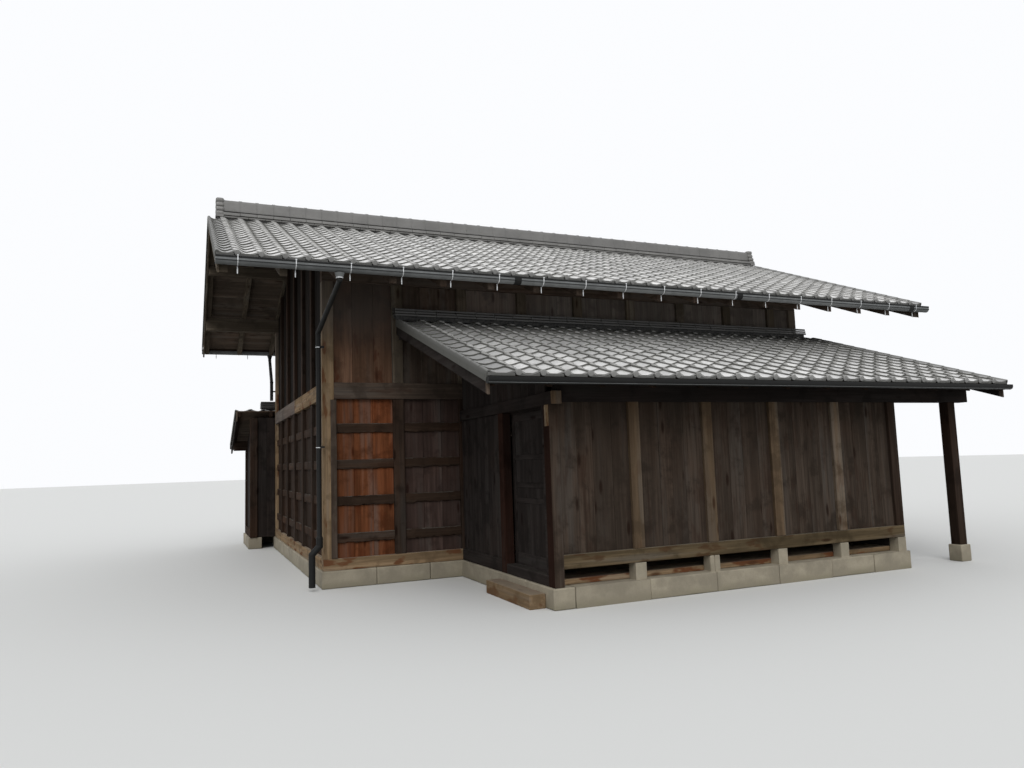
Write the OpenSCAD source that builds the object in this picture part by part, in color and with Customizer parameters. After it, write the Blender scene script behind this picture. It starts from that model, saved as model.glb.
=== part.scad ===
// Free-standing timber house with a tiled gable roof, a front lean-to with the entrance and a rear lean-to.
// X runs along the ridge, Y away from the front wall, Z up. Sizes are in millimetres.
// Inside the modules, the main block's front left corner at ground level is the zero point.

/* [Main block] */
// Length of the main block along the ridge, over the posts
main_l = 8270; // [6200:10:10400]
// Depth of the main block, over the posts
main_d = 5880; // [4900:10:7000]
// Distance from post to post
bay = 955; // [900:5:1000]
// Side of a main post
post = 150; // [120:5:180]
// Height of the stone base above the ground
stone_h = 225; // [180:5:300]
// Width of the stone base
stone_w = 260; // [240:5:320]
// Height of the sill beams
sill_h = 150; // [120:5:180]
// Underside of the mid-height beams above the ground
mid_z = 2470; // [2350:10:2550]
// Height of the mid-height beams
mid_h = 220; // [160:5:260]
// Height of the plates that carry the rafters
plate_h = 200; // [150:5:240]

/* [Wall boards and rails] */
// Thickness of the wall boards
board_t = 25; // [18:1:35]
// Depth of the boards behind the faces of the posts
board_in = 50; // [40:1:60]
// Height of a wall rail
rail_h = 115; // [80:5:130]
// Thickness of a wall rail
rail_t = 30; // [15:1:38]
// Distance from rail to rail
rail_step = 483; // [440:1:500]
// Number of rails below the mid-height beam
rails = 4; // [2:1:4]

/* [Main roof] */
// Rise of the front slope for each millimetre of run
pitch = 0.42; // [0.3:0.01:0.55]
// Rise of the back slope for each millimetre of run
back_pitch = 0.35; // [0.3:0.01:0.5]
// Top of the boarding at the front eave above the ground
eave_z = 4037; // [3900:1:4300]
// Reach of the boarding past the front wall
eave_over = 1070; // [700:10:1200]
// Reach of the boarding past the back wall
back_over = 1360; // [900:10:1500]
// Reach of the boarding past the left wall
verge_l = 1350; // [900:5:1500]
// Reach of the boarding past the right wall
verge_r = 1771; // [900:1:1900]
// Depth of a rafter of the front slope
rafter_h = 180; // [120:5:200]
// Depth of a rafter of the back slope
back_rafter_h = 120; // [100:5:180]
// Width of a main rafter
rafter_w = 90; // [60:5:110]
// Greatest distance from rafter to rafter
rafter_step = 668; // [450:1:750]
// Thickness of the roof boarding
deck_t = 20; // [15:1:30]
// Width of a purlin
purlin_w = 120; // [100:5:150]
// Depth of a purlin and of the ridge beam on their lower side
purlin_d = 120; // [90:5:150]
// Distance of a purlin from the ridge beam
purlin_gap = 1110; // [900:10:1500]
// Depth of a bargeboard
barge_h = 180; // [150:5:240]
// Thickness of a bargeboard
barge_t = 30; // [20:1:40]

/* [Tiles] */
// Nominal working width of a tile
tile_w = 265; // [235:1:300]
// Height of the tile layer in its troughs
tile_low = 34; // [25:1:45]
// Height of the rolls above the layer
tile_roll = 34; // [20:1:40]
// Width of a roll
roll_w = 100; // [80:1:120]
// Depth of the troughs below the layer
tile_dip = 12; // [6:1:16]
// Distance of the main slopes' first roll from the verge
first_roll = 215; // [180:1:280]
// Distance of the lean-tos' first roll from the verge
lt_first_roll = 311; // [240:1:330]
// Reach of the tiles past the boarding
tile_over = 35; // [20:1:45]
// Thickness of the hanging edge of a verge tile
flap_t = 15; // [10:1:20]
// Drop of the hanging edge below the boarding's top
flap_h = 60; // [40:1:90]
// Width of the ridge at its foot
ridge_w = 330; // [280:5:380]
// Height of the ridge above the peak of the boarding
ridge_h = 345; // [280:5:380]
// Distance of the ridge's ends inside the verges
ridge_in = 125; // [60:5:160]
// Thickness of a ridge-end tile
ridge_end_t = 130; // [90:5:160]

/* [Front lean-to] */
// Left face of the front lean-to from the main block's left face
lt_x = 1910; // [1700:5:2100]
// Right face of its closed part
lt_x1 = 7090; // [6600:10:7400]
// Depth of the front lean-to
lt_d = 2865; // [2300:5:3000]
// Width of a front lean-to post
lt_post = 140; // [110:5:160]
// Depth of the posts in the side wall with the door
lt_side_post = 110; // [90:5:120]
// Rise of the lean-to roofs for each millimetre of run
lt_pitch = 0.34; // [0.28:0.01:0.4]
// Top of the boarding where it meets the main wall
lt_top_z = 3555; // [3450:5:3650]
// Reach of the boarding past the lean-to's front
lt_over = 515; // [350:5:600]
// Reach of the boarding past the lean-to's left wall
lt_verge_l = 895; // [500:5:950]
// Reach of the boarding past the main block's right wall
lt_verge_r = 305; // [200:5:400]
// Underside of the lean-to's front plate
lt_plate_z = 2190; // [2180:5:2220]
// Top of the lean-to's front sill
lt_sill_z = 560; // [500:5:600]
// Depth of a lean-to rafter
lt_rafter_h = 90; // [70:5:100]
// Depth of a lean-to bargeboard
lt_barge_h = 165; // [140:5:200]
// Width of a lean-to rafter
lt_rafter_w = 60; // [45:5:75]
// Greatest distance from rafter to rafter in a lean-to
lt_rafter_step = 640; // [450:5:700]
// Distance from post to post in the lean-to's front
lt_bay = 1010; // [950:10:1100]
// Height of the flashing course where a lean-to roof meets a wall
flash_h = 120; // [90:5:150]
// Depth of the flashing course
flash_w = 190; // [150:5:240]
// Reach of the front lean-to's flashing course past the boarding at the left
flash_out = 60; // [30:5:90]

/* [Entrance] */
// Left jamb of the doorway, behind the main front wall's face
door_y0 = 1570; // [1450:5:1650]
// Top of the threshold
threshold_z = 340; // [320:5:360]
// Underside of the side beam over the door
head_z = 2160; // [2100:5:2175]
// Height of the side beam over the door
head_h = 140; // [120:5:160]
// Thickness of the door leaf
leaf_t = 32; // [28:1:40]
// Width of the leaf's stiles
stile_w = 85; // [60:5:100]
// Reach of the leaf past each jamb
leaf_lap = 20; // [15:1:30]
// Width of the jamb board at the corner post
jamb_w = 65; // [40:5:90]
// Height of the step in front of the door
step_h = 155; // [130:5:170]
// Width of the step
step_w = 190; // [150:5:240]

/* [Rear lean-to] */
// Reach of the rear lean-to past the main block's left face
rear_out = 478; // [300:1:600]
// Depth of the rear lean-to
rear_d = 1432; // [1100:1:1600]
// Top of its boarding where it meets the main back wall
rear_top_z = 2750; // [2700:5:2800]
// Reach of its boarding past its back wall
rear_over = 400; // [300:5:450]
// Reach of its boarding past its left and right walls
rear_verge = 270; // [200:5:350]

/* [Gutters and pipes] */
// Radius of a main gutter
gutter_r = 58; // [45:1:65]
// Height of a main gutter's straight sides above its round bottom
gutter_side = 38; // [10:1:60]
// Radius of a lean-to gutter
lt_gutter_r = 45; // [38:1:55]
// Height of a lean-to gutter's straight sides above its round bottom
lt_gutter_side = 18; // [5:1:40]
// Thickness of the gutter sheet
gutter_t = 3; // [2:0.5:4]
// Reach of the main gutters past the right verge tiles
gutter_out = 85; // [40:5:120]
// Radius of a downpipe
pipe_r = 32; // [25:1:38]

/* [Hidden] */

// Gap between two timbers of one node where they butt
joint = 0.4;
// Running clearance of the door leaf
run = 5;
// Rest clearance of the door's rollers
seat = 0.3;

// Gap between a verge tile's flap and the boarding, and how far the flap stops short of the eave
flap_gap = 10;
flap_short = 180;

sill_z = stone_h + sill_h;
ridge_y = main_d / 2;
angle = atan(pitch);
back_angle = atan(back_pitch);
lt_angle = atan(lt_pitch);
beam_top = mid_z + mid_h;
stone_out = 30;
floor_t = 60;
sheet = 48;

// Weathered timber and other finishes
dark_wood = [0.23, 0.18, 0.15];
red_wood = [0.42, 0.22, 0.13];
tan_wood = [0.55, 0.45, 0.33];
slate_grey = [0.46, 0.47, 0.48];
pipe_grey = [0.22, 0.25, 0.28];
stone_grey = [0.66, 0.63, 0.56];

// A slope's pitch, reach past its wall and vertical thickness of a layer t thick
function rise(back) = back ? back_pitch : pitch;
function over(back) = back ? back_over : eave_over;
function up(t, back = false) = t / cos(back ? back_angle : angle);
ridge_z = eave_z + pitch * (ridge_y + eave_over);
// Top of a slope's boarding and underside of its rafters, d behind the outer face of its own wall
function slope_z(d, back = false) = ridge_z - rise(back) * (ridge_y - d);
function under_z(d, back = false) = slope_z(d, back) - up(deck_t + (back ? back_rafter_h : rafter_h), back);
// The underside at depth y, on either slope, and the tops of what carries the rafters
function rafter_z(y) = y > ridge_y ? under_z(main_d - y, true) : under_z(y);
function seat_z(y) = rafter_z(y) - seat;
// Top of the lean-to's boarding at depth y, which is negative in front of the wall
function lt_deck_z(y) = lt_top_z + lt_pitch * y;
function lt_up(t) = t / cos(lt_angle);
function lt_rafter_z(y) = lt_deck_z(y) - lt_up(deck_t + lt_rafter_h);
// The same for the rear lean-to, at depth y behind the main back wall
function rear_deck_z(y) = rear_top_z - lt_pitch * y;
function rear_rafter_z(y) = rear_deck_z(y) - lt_up(deck_t + lt_rafter_h);

deck_x0 = -verge_l;
deck_x1 = main_l + verge_r;
tile_x0 = deck_x0 - flap_t - flap_gap;
tile_x1 = deck_x1 + flap_t + flap_gap;
lt_deck_x0 = lt_x - lt_verge_l;
lt_deck_x1 = main_l + lt_verge_r;
rear_x0 = -rear_out;
rear_deck_x0 = rear_x0 - rear_verge;
rear_deck_x1 = main_l + rear_verge;
gutter_x1 = tile_x1 + gutter_out;
lt_eave_y = -(lt_d + lt_over);
rear_eave_y = main_d + rear_d + rear_over;

// The model's origin: the middle of its box at ground level
mid_x = (tile_x0 + gutter_x1) / 2;
low_y = lt_eave_y - 2 * lt_gutter_r;
high_y = rear_eave_y + 2 * lt_gutter_r;
mid_y = (low_y + high_y) / 2;

// Posts along the main front and back walls, and along the gable walls
front_count = floor((main_l - 1.2 * post) / bay);
post_xs = [for (i = [1:front_count]) if (i * bay + post < main_l - 1.5 * post) i * bay];
side_count = floor((main_d - 1.2 * post) / bay);
post_ys = [for (i = [1:side_count]) if (i * bay + post < main_d - post) i * bay];

// A box from one corner to the other
module block(a, b) {
    translate(a) cube(b - a);
}

// An outline in Y and Z drawn out along X
module along_x(x0, x1, outline) {
    translate([x0, 0, 0]) rotate([90, 0, 90]) linear_extrude(x1 - x0) polygon(outline);
}

// An outline in X and Z drawn out along Y
module along_y(y0, y1, outline) {
    translate([0, y1, 0]) rotate([90, 0, 0]) linear_extrude(y1 - y0) polygon(outline);
}

// Turns the back of the main block to its front
module back_to_front() {
    translate([0, main_d, 0]) mirror([0, 1, 0]) children();
}

module placed() {
    translate([-mid_x, -mid_y, 0]) children();
}

// Stone base under the walls, with pads under the raised sill of the front lean-to
module foundation() {
    o = stone_out;
    w = stone_w - o;
    color(stone_grey) {
        block([-o, -o, 0], [main_l + o, w, stone_h]);
        block([-o, w + joint, 0], [w, main_d - w - joint, stone_h]);
        block([main_l - w, w + joint, 0], [main_l + o, main_d - w - joint, stone_h]);
        block([-o, main_d - w, 0], [main_l + o, main_d + o, stone_h]);
        block([lt_x - o, -lt_d - o, 0], [lt_x + w, -o - joint, stone_h]);
        block([lt_x1 - w, -lt_d + w + joint, 0], [lt_x1 + o, -o - joint, stone_h]);
        union() {
            block([lt_x + w + joint, -lt_d - o, 0], [lt_x1 + o, -lt_d + w, stone_h]);
            for (x = lt_front_xs)
                block([x, -lt_d, stone_h - 1], [x + lt_post, -lt_d + lt_post, lt_sill_z - sill_h]);
        }
        block([main_l - lt_post - o, -lt_d - o, 0], [main_l + o, -lt_d + lt_post + o, stone_h]);
        block([rear_x0 - o, main_d + o + joint, 0], [rear_x0 + w, main_d + rear_d + o, stone_h]);
        block([rear_x0 + w + joint, main_d + rear_d - w, 0], [main_l - w - joint, main_d + rear_d + o, stone_h]);
        block([main_l - w, main_d + o + joint, 0], [main_l + o, main_d + rear_d + o, stone_h]);
    }
}

// Sills of the main block
module main_sills() {
    color(tan_wood) {
        block([0, 0, stone_h], [main_l, post, sill_z]);
        block([0, post + joint, stone_h], [post, main_d - post - joint, sill_z]);
        block([main_l - post, post + joint, stone_h], [main_l, main_d - post - joint, sill_z]);
        block([0, main_d - post, stone_h], [main_l, main_d, sill_z]);
    }
}

// The four corner posts run from the sill to the plates
module corner_posts() {
    color(tan_wood)
        for (x = [0, main_l - post], back = [false, true]) {
            y = back ? main_d - post : 0;
            block([x, y, sill_z], [x + post, y + post, plate_z(back)]);
        }
}
function plate_z(back) = under_z(0, back) - plate_h;

// Posts between the corners, below and above the mid-height beams
module wall_posts() {
    color(dark_wood) {
        for (x = post_xs, back = [false, true]) {
            y = back ? main_d - post : 0;
            block([x, y, sill_z], [x + post, y + post, mid_z]);
            block([x, y, beam_top], [x + post, y + post, plate_z(back)]);
        }
        for (x = [0, main_l - post], y = post_ys) {
            block([x, y, sill_z], [x + post, y + post, mid_z]);
            gable_post(x, y);
        }
    }
}

// A gable post stands on the mid-height beam and ends under the purlin or the slope
module gable_post(x, y) {
    feet = [for (p = purlin_ys) if (abs(p - y - post / 2) < (purlin_w + post) / 2) purlin_z(p)];
    top = min(concat([seat_z(y), seat_z(y + post)], feet));
    block([x, y, beam_top], [x + post, y + post, top]);
}
purlin_ys = [ridge_y - purlin_gap, ridge_y, ridge_y + purlin_gap];
// Underside of the purlin whose middle is at depth y
function purlin_z(y) = min(rafter_z(y - purlin_w / 2), rafter_z(y + purlin_w / 2)) - purlin_d;

// Beams at mid height between the corner posts
module mid_beams() {
    proud = 12;
    color(dark_wood) {
        block([post, -proud, mid_z], [main_l - post, post, beam_top]);
        block([post, main_d - post, mid_z], [main_l - post, main_d, beam_top]);
        block([-proud, post, mid_z], [post, main_d - post, beam_top]);
        block([main_l - post, post, mid_z], [main_l + proud, main_d - post, beam_top]);
    }
}

// Plates on the front and back walls, with their tops cut to the slope
module eave_plates() {
    color(dark_wood) {
        wall_plate(0, main_l, false);
        back_to_front() wall_plate(deck_x0 + barge_t + joint, deck_x1 - barge_t - joint, true);
    }
}
module wall_plate(x0, x1, back) {
    along_x(x0, x1, [[0, plate_z(back)], [post, plate_z(back)], [post, under_z(post, back) - seat],
        [0, under_z(0, back) - seat]]);
}

// Two purlins and the ridge beam, whose top is stepped for the two depths of rafter
module purlins() {
    w = purlin_w / 2;
    x0 = deck_x0 + barge_t + joint;
    x1 = deck_x1 - barge_t - joint;
    color(dark_wood)
        for (y = purlin_ys)
            along_x(x0, x1, concat([[y - w, purlin_z(y)], [y + w, purlin_z(y)], [y + w, seat_z(y + w)]],
                y == ridge_y ? ridge_seats : [], [[y - w, seat_z(y - w)]]));
}
ridge_seats = [[ridge_y, under_z(ridge_y, true) - seat], [ridge_y, under_z(ridge_y) - seat]];

module main_floor() {
    color(tan_wood)
        block([post + joint, post + joint, stone_h], [main_l - post - joint, main_d - post - joint, stone_h + floor_t]);
}

// Boards between two points of a wall that runs along X
module boards_x(x0, x1, z0, z1, y0 = board_in) {
    block([x0, y0, z0], [x1, y0 + board_t, z1]);
}

// Red-brown board panels: the first bays at the left and the bays behind the porch
module front_panels() {
    starts = concat([0], post_xs);
    color(red_wood)
        for (i = [0:len(starts) - 1]) {
            x0 = starts[i] + post;
            x1 = i + 1 < len(starts) ? starts[i + 1] : main_l - post;
            if (x1 <= lt_x + post || x0 > lt_x1 - bay + post)
                boards_x(x0, x1, sill_z, mid_z);
        }
}

// Boards above the mid-height beam, one panel from corner to corner behind the posts
module front_upper_wall() {
    color(dark_wood) upper_boards(false);
}
module upper_boards(back) {
    starts = concat([0], post_xs);
    for (i = [0:len(starts) - 1]) {
        x1 = i + 1 < len(starts) ? starts[i + 1] : main_l - post;
        boards_x(starts[i] + post, x1, beam_top, plate_z(back));
    }
}
module back_upper_wall() {
    color(dark_wood) back_to_front() upper_boards(true);
}

// Side wall boards between the posts, below the mid-height beam
module side_boards(x) {
    starts = concat([0], post_ys);
    for (i = [0:len(starts) - 1]) {
        y1 = i + 1 < len(starts) ? starts[i + 1] : main_d - post;
        block([x, starts[i] + post, sill_z], [x + board_t, y1, mid_z]);
    }
}
module left_wall() {
    color(dark_wood) side_boards(board_in);
}
module right_wall() {
    color(dark_wood) side_boards(main_l - board_in - board_t);
}

// Gable boards between the posts, from the mid-height beam to the rafters
module gable_boards(x) {
    starts = concat([0], post_ys);
    for (i = [0:len(starts) - 1]) {
        y0 = starts[i] + post;
        y1 = i + 1 < len(starts) ? starts[i + 1] : main_d - post;
        difference() {
            along_x(x, x + board_t, concat(
                [[y0, beam_top], [y1, beam_top], [y1, seat_z(y1)]],
                y0 < ridge_y && y1 > ridge_y ? ridge_seats : [],
                [[y0, seat_z(y0)]]));
            for (p = purlin_ys)
                block([x - 1, p - purlin_w / 2 - joint, purlin_z(p) - joint],
                    [x + board_t + 1, p + purlin_w / 2 + joint, ridge_z]);
        }
    }
}
module gable_walls() {
    color(dark_wood)
        for (x = [board_in, main_l - board_in - board_t])
            gable_boards(x);
}

// Rails let in between the posts in front of the boards
rail_zs = [for (i = [0:rails - 1]) mid_z - 383 - rail_h / 2 - i * rail_step];
module wall_rails() {
    xs = concat([0], post_xs);
    ys = concat([0], post_ys);
    back = board_in - rail_t;
    color(red_wood)
        for (z = rail_zs) {
            for (i = [0:len(xs) - 1]) {
                x0 = xs[i] + post;
                x1 = i + 1 < len(xs) ? xs[i + 1] : main_l - post;
                if (x1 <= lt_x + post || x0 > lt_x1 - bay + post)
                    block([x0, back, z], [x1, board_in, z + rail_h]);
            }
            for (i = [0:len(ys) - 1]) {
                y0 = ys[i] + post;
                y1 = i + 1 < len(ys) ? ys[i + 1] : main_d - post;
                block([back, y0, z], [board_in, y1, z + rail_h]);
                block([main_l - board_in, y0, z], [main_l - back, y1, z + rail_h]);
            }
        }
}

// Left faces of rafters at even distances, none farther apart than step
function row_xs(x0, x1, w, step) = let (n = ceil((x1 - x0 - w) / step)) [for (i = [0:n]) x0 + i * (x1 - x0 - w) / n];
module rafter_row(xs, w, outline) {
    for (x = xs)
        along_x(x, x + w, outline);
}
main_xs = row_xs(deck_x0 + barge_t, deck_x1 - barge_t, rafter_w, rafter_step);
lt_xs = row_xs(lt_deck_x0 + barge_t, lt_deck_x1 - barge_t, lt_rafter_w, lt_rafter_step);
rear_xs = row_xs(rear_deck_x0 + barge_t, rear_deck_x1 - barge_t, lt_rafter_w, lt_rafter_step);
tip_in = 20;
module main_rafters(back) {
    y0 = -over(back) + tip_in;
    y1 = ridge_y - seat;
    top = up(deck_t, back) + seat;
    color(dark_wood)
        rafter_row(main_xs, rafter_w, [[y0, under_z(y0, back)], [y1, under_z(y1, back)],
            [y1, slope_z(y1, back) - top], [y0, slope_z(y0, back) - top]]);
}
module rafters_front() {
    main_rafters(false);
}
module rafters_back() {
    back_to_front() main_rafters(true);
}

module main_deck(back) {
    y0 = -over(back);
    low = up(deck_t, back);
    color(tan_wood)
        along_x(deck_x0, deck_x1, [[y0, slope_z(y0, back) - low], [ridge_y, ridge_z - low], [ridge_y, ridge_z],
            [y0, slope_z(y0, back)]]);
}
module roof_deck_front() {
    main_deck(false);
}
module roof_deck_back() {
    back_to_front() main_deck(true);
}

// Outline of a roll and the trough after it, from the roll's middle, k = -2 to 4
function wave(k, step) = k < 3
    ? [k * roll_w / 4, tile_low + tile_roll * cos(45 * k)]
    : [roll_w / 2 + (k - 2) * (step - roll_w) / 3, tile_low - tile_dip * sin(60 * (k - 2))];

// A layer of tiles w wide and run long, from its top edge down a slope, between two rows of verge tiles
module tile_layer(w, run, first, rise) {
    n = round((w - first) / tile_w);
    step = (w - first) / n;
    top = concat([[0, tile_low], [(first - roll_w / 2) / 2, tile_low - tile_dip]],
        [for (i = [0:n - 1], k = [-2:4]) [first + i * step, 0] + wave(k, step)], [[w, tile_low]]);
    linear_extrude(run) polygon(concat([[0, seat], [w, seat]], [for (i = [len(top) - 1:-1:0]) top[i]]));
    verge_tiles(run, rise);
    translate([w, 0, 0]) mirror([1, 0, 0]) verge_tiles(run, rise);
}
// Verge tiles: a lip over the edge of the layer and a flap that hangs before the bargeboard, short of the gutter
module verge_tiles(run, rise) {
    out = -flap_t - flap_gap;
    linear_extrude(run)
        polygon([[out, seat], [-joint, seat], [-joint, tile_low + 14], [out, tile_low + 14]]);
    translate([0, 0, flap_h * rise + joint]) linear_extrude(run - flap_short)
        polygon([[out, -flap_h], [-flap_gap, -flap_h], [-flap_gap, 2 * seat], [out, 2 * seat]]);
}
module main_tiles(back) {
    slope = back ? back_angle : angle;
    color(slate_grey)
        translate([deck_x0, ridge_y, ridge_z]) rotate([90 + slope, 0, 0])
            tile_layer(deck_x1 - deck_x0, (ridge_y + over(back) + tile_over) / cos(slope), first_roll, rise(back));
}
module roof_tiles_front() {
    main_tiles(false);
}
// The back slope's tiles run from its own left to its right
module roof_tiles_back() {
    translate([deck_x0 + deck_x1, main_d, 0]) rotate([0, 0, 180]) main_tiles(true);
}

// Ridge: two courses of flat tiles under a skirted cap
// Top of the rolls of a slope, at distance w from the ridge's middle
function roll_z(w, back = false) = ridge_z - rise(back) * w + up(tile_low + tile_roll, back) + seat;
module ridge() {
    top = ridge_z + ridge_h;
    w = ridge_w / 2;
    front = roll_z(w);
    back = roll_z(w, true);
    cap_r = 75;
    color(slate_grey)
        translate([tile_x0 + ridge_in + ridge_end_t, 0, 0]) rotate([90, 0, 90])
            linear_extrude(tile_x1 - tile_x0 - 2 * ridge_in - 2 * ridge_end_t) {
                polygon([[ridge_y - w, front], [ridge_y, roll_z(0)], [ridge_y + w, back],
                    [ridge_y + w, back + 45], [ridge_y + w - 45, back + 45], [ridge_y + cap_r, top - cap_r],
                    [ridge_y - cap_r, top - cap_r], [ridge_y - w + 45, front + 45], [ridge_y - w, front + 45]]);
                translate([ridge_y, top - cap_r]) circle(cap_r, $fn = sheet);
            }
}

// A stepped tile closes each end of the ridge
module ridge_end_tiles() {
    top = ridge_z + ridge_h + 25;
    w = ridge_w / 2 + 10;
    front = roll_z(w);
    back = roll_z(w, true);
    outline = [[ridge_y - w, front], [ridge_y, roll_z(0)], [ridge_y + w, back], [ridge_y + w, back + 64],
        [ridge_y + w - 55, back + 114], [ridge_y + w - 85, top - 30], [ridge_y + 50, top],
        [ridge_y - 50, top], [ridge_y - w + 85, top - 30], [ridge_y - w + 55, front + 114],
        [ridge_y - w, front + 64]];
    color(slate_grey)
        for (x = [tile_x0 + ridge_in, tile_x1 - ridge_in - ridge_end_t])
            along_x(x, x + ridge_end_t, outline);
}

// Bargeboards under the verges of each slope, with plumb ends
module slope_bargeboards(back) {
    y0 = -over(back) + 5;
    y1 = ridge_y - joint;
    low = up(deck_t + barge_h, back);
    high = up(deck_t, back) + seat;
    for (x = [deck_x0, deck_x1 - barge_t])
        along_x(x, x + barge_t - joint, [[y0, slope_z(y0, back) - low], [y1, slope_z(y1, back) - low],
            [y1, slope_z(y1, back) - high], [y0, slope_z(y0, back) - high]]);
}
module bargeboards() {
    color(dark_wood) {
        slope_bargeboards(false);
        back_to_front() slope_bargeboards(true);
    }
}

// A gutter's section across X: straight sides over a half-round bottom, its rim's middle at y and z
module gutter_section(x0, x1, y, z, r, side) {
    translate([x0, y, z - side]) rotate([0, 90, 0]) cylinder(r = r, h = x1 - x0, $fn = sheet);
    block([x0, y - r, z - side], [x1, y + r, z + 1]);
}

// A gutter with closed ends along X, its rim's middle at y and z
module gutter(x0, x1, y, z, r, side) {
    difference() {
        gutter_section(x0, x1, y, z, r, side);
        gutter_section(x0 + gutter_t, x1 - gutter_t, y, z, r - gutter_t, side);
        block([x0 - 1, y - r - 1, z], [x1 + 1, y + r + 1, z + r + 1]);
    }
}

// Straps under a gutter, each screwed to the tip of the rafter behind it
module straps(xs, w, y, z, r, side) {
    back = y + r + tip_in - seat;
    hold = r + seat;
    for (x = xs)
        translate([x + (w - strap_w) / 2, 0, 0]) difference() {
            union() {
                translate([0, y, z - side]) rotate([0, 90, 0]) cylinder(r = hold + strap_t, h = strap_w, $fn = sheet);
                block([0, y, z - side], [strap_w, back, z + 1]);
            }
            translate([-1, y, z - side]) rotate([0, 90, 0]) cylinder(r = hold, h = strap_w + 2, $fn = sheet);
            block([-1, y - 1, z - side], [strap_w + 1, y + hold, z + 2]);
            block([-1, y - 2 * r, z - side - 2 * r], [strap_w + 1, y, z + 2 * r]);
            block([-1, y - 1, z], [strap_w + 1, back + 1, z + 2 * r]);
        }
}
strap_t = 3;
strap_w = 18;
function gutter_y(back) = -over(back) - gutter_r;
function gutter_z(back) = slope_z(-over(back), back) - up(deck_t, back) - 15;
lt_gutter_y = lt_eave_y - lt_gutter_r;
lt_gutter_z = lt_deck_z(lt_eave_y) - lt_up(deck_t) - 8;
rear_gutter_z = rear_deck_z(rear_d + rear_over) - lt_up(deck_t) - 8;
module main_gutter(back) {
    gutter(tile_x0 + 5, gutter_x1, gutter_y(back), gutter_z(back), gutter_r, gutter_side);
}
module main_straps(back) {
    straps(main_xs, rafter_w, gutter_y(back), gutter_z(back), gutter_r, gutter_side);
}
module at_rear_gutter() {
    translate([0, rear_eave_y + lt_gutter_r, rear_gutter_z]) mirror([0, 1, 0]) children();
}
module gutters() {
    color(pipe_grey) {
        main_gutter(false);
        back_to_front() main_gutter(true);
        gutter(lt_deck_x0 - 20, lt_deck_x1 + 60, lt_gutter_y, lt_gutter_z, lt_gutter_r, lt_gutter_side);
        at_rear_gutter() gutter(rear_deck_x0 - 20, rear_deck_x1 + 60, 0, 0, lt_gutter_r, lt_gutter_side);
    }
}
module gutter_straps() {
    color(pipe_grey) {
        main_straps(false);
        back_to_front() main_straps(true);
        straps(lt_xs, lt_rafter_w, lt_gutter_y, lt_gutter_z, lt_gutter_r, lt_gutter_side);
        at_rear_gutter() straps(rear_xs, lt_rafter_w, 0, 0, lt_gutter_r, lt_gutter_side);
    }
}

// A round pipe from one point to another
module pipe(a, b, r = pipe_r) {
    d = b - a;
    translate(a) rotate([0, acos(d[2] / norm(d)), atan2(d[1], d[0])]) cylinder(r = r, h = norm(d), $fn = 24);
}

// A downpipe: outlet under the gutter, slanting run to the corner and upright run
module downpipe(back, bottom_z) {
    y = gutter_y(back);
    gz = gutter_z(back) - gutter_side - gutter_r - strap_t - 2 * seat;
    top = [30, y, gz - 95];
    knee = [-pipe_r - 30, -pipe_r - 40, knee_z];
    translate([top[0], top[1], gz - 60]) cylinder(r1 = pipe_r + 4, r2 = pipe_r + 22, h = 60, $fn = 24);
    pipe([top[0], top[1], gz - 50], top);
    pipe(top, knee);
    pipe(knee, [knee[0], knee[1], bottom_z]);
    for (p = [top, knee]) translate(p) sphere(r = pipe_r + 4, $fn = 24);
    for (z = [3140, 1820])
        if (z > bottom_z) block([knee[0] - 6, knee[1] - pipe_r - 4, z], [8, knee[1] + pipe_r + 4, z + 22]);
}
knee_z = 3340;
// The front pipe's foot steps out over the stone base and stands clear of it
module pipe_foot() {
    upper = [-pipe_r - 30, -pipe_r - 40, foot_z];
    lower = [upper[0] - foot_out, upper[1] - foot_out / 4, foot_z - 100];
    pipe(upper, lower);
    pipe(lower, [lower[0], lower[1], 60]);
    for (p = [upper, lower]) translate(p) sphere(r = pipe_r + 2, $fn = 24);
}
foot_z = 560;
foot_out = 100;
module downpipes() {
    color(pipe_grey) {
        union() {
            downpipe(false, foot_z);
            pipe_foot();
        }
        back_to_front() downpipe(true, rear_top_z + lt_up(tile_low + tile_roll) + flash_h + 20);
    }
}

// Posts of the front lean-to: along its front, at the doorway, at its right wall and the porch post
lt_front_xs = concat([for (i = [1:1:floor((lt_x1 - 1.5 * lt_post - lt_x) / lt_bay)])
    if (lt_x + i * lt_bay < lt_x1 - 2 * lt_post) lt_x + i * lt_bay - 10], [lt_x1 - lt_post]);
module lean_to_posts() {
    top = lt_plate_z;
    color(dark_wood) {
        block([lt_x, -lt_d, stone_h], [lt_x + lt_side_post, -lt_d + lt_post, head_z]);
        block([lt_x, -door_y0, stone_h], [lt_x + lt_side_post, -door_y0 + lt_post, head_z]);
        for (x = lt_front_xs)
            block([x, -lt_d, lt_sill_z], [x + lt_post, -lt_d + lt_post, top]);
        block([lt_x1 - lt_post, -lt_post - 10, sill_z], [lt_x1, -10, head_z]);
        block([main_l - lt_post, -lt_d, stone_h], [main_l, -lt_d + lt_post, top]);
    }
}
lt_head_top = head_z + head_h;

// Sills of the front lean-to: the front one rests on pads, the side ones on the stone base
module lean_to_sills() {
    color(tan_wood) {
        block([lt_x + lt_side_post, -lt_d, lt_sill_z - sill_h], [lt_x1, -lt_d + lt_post, lt_sill_z]);
        block([lt_x, -door_y0 + lt_post, stone_h], [lt_x + lt_side_post, 0, sill_z]);
        block([lt_x1 - lt_post, -lt_d + lt_post + joint, stone_h], [lt_x1, -0, sill_z]);
    }
}

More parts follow.
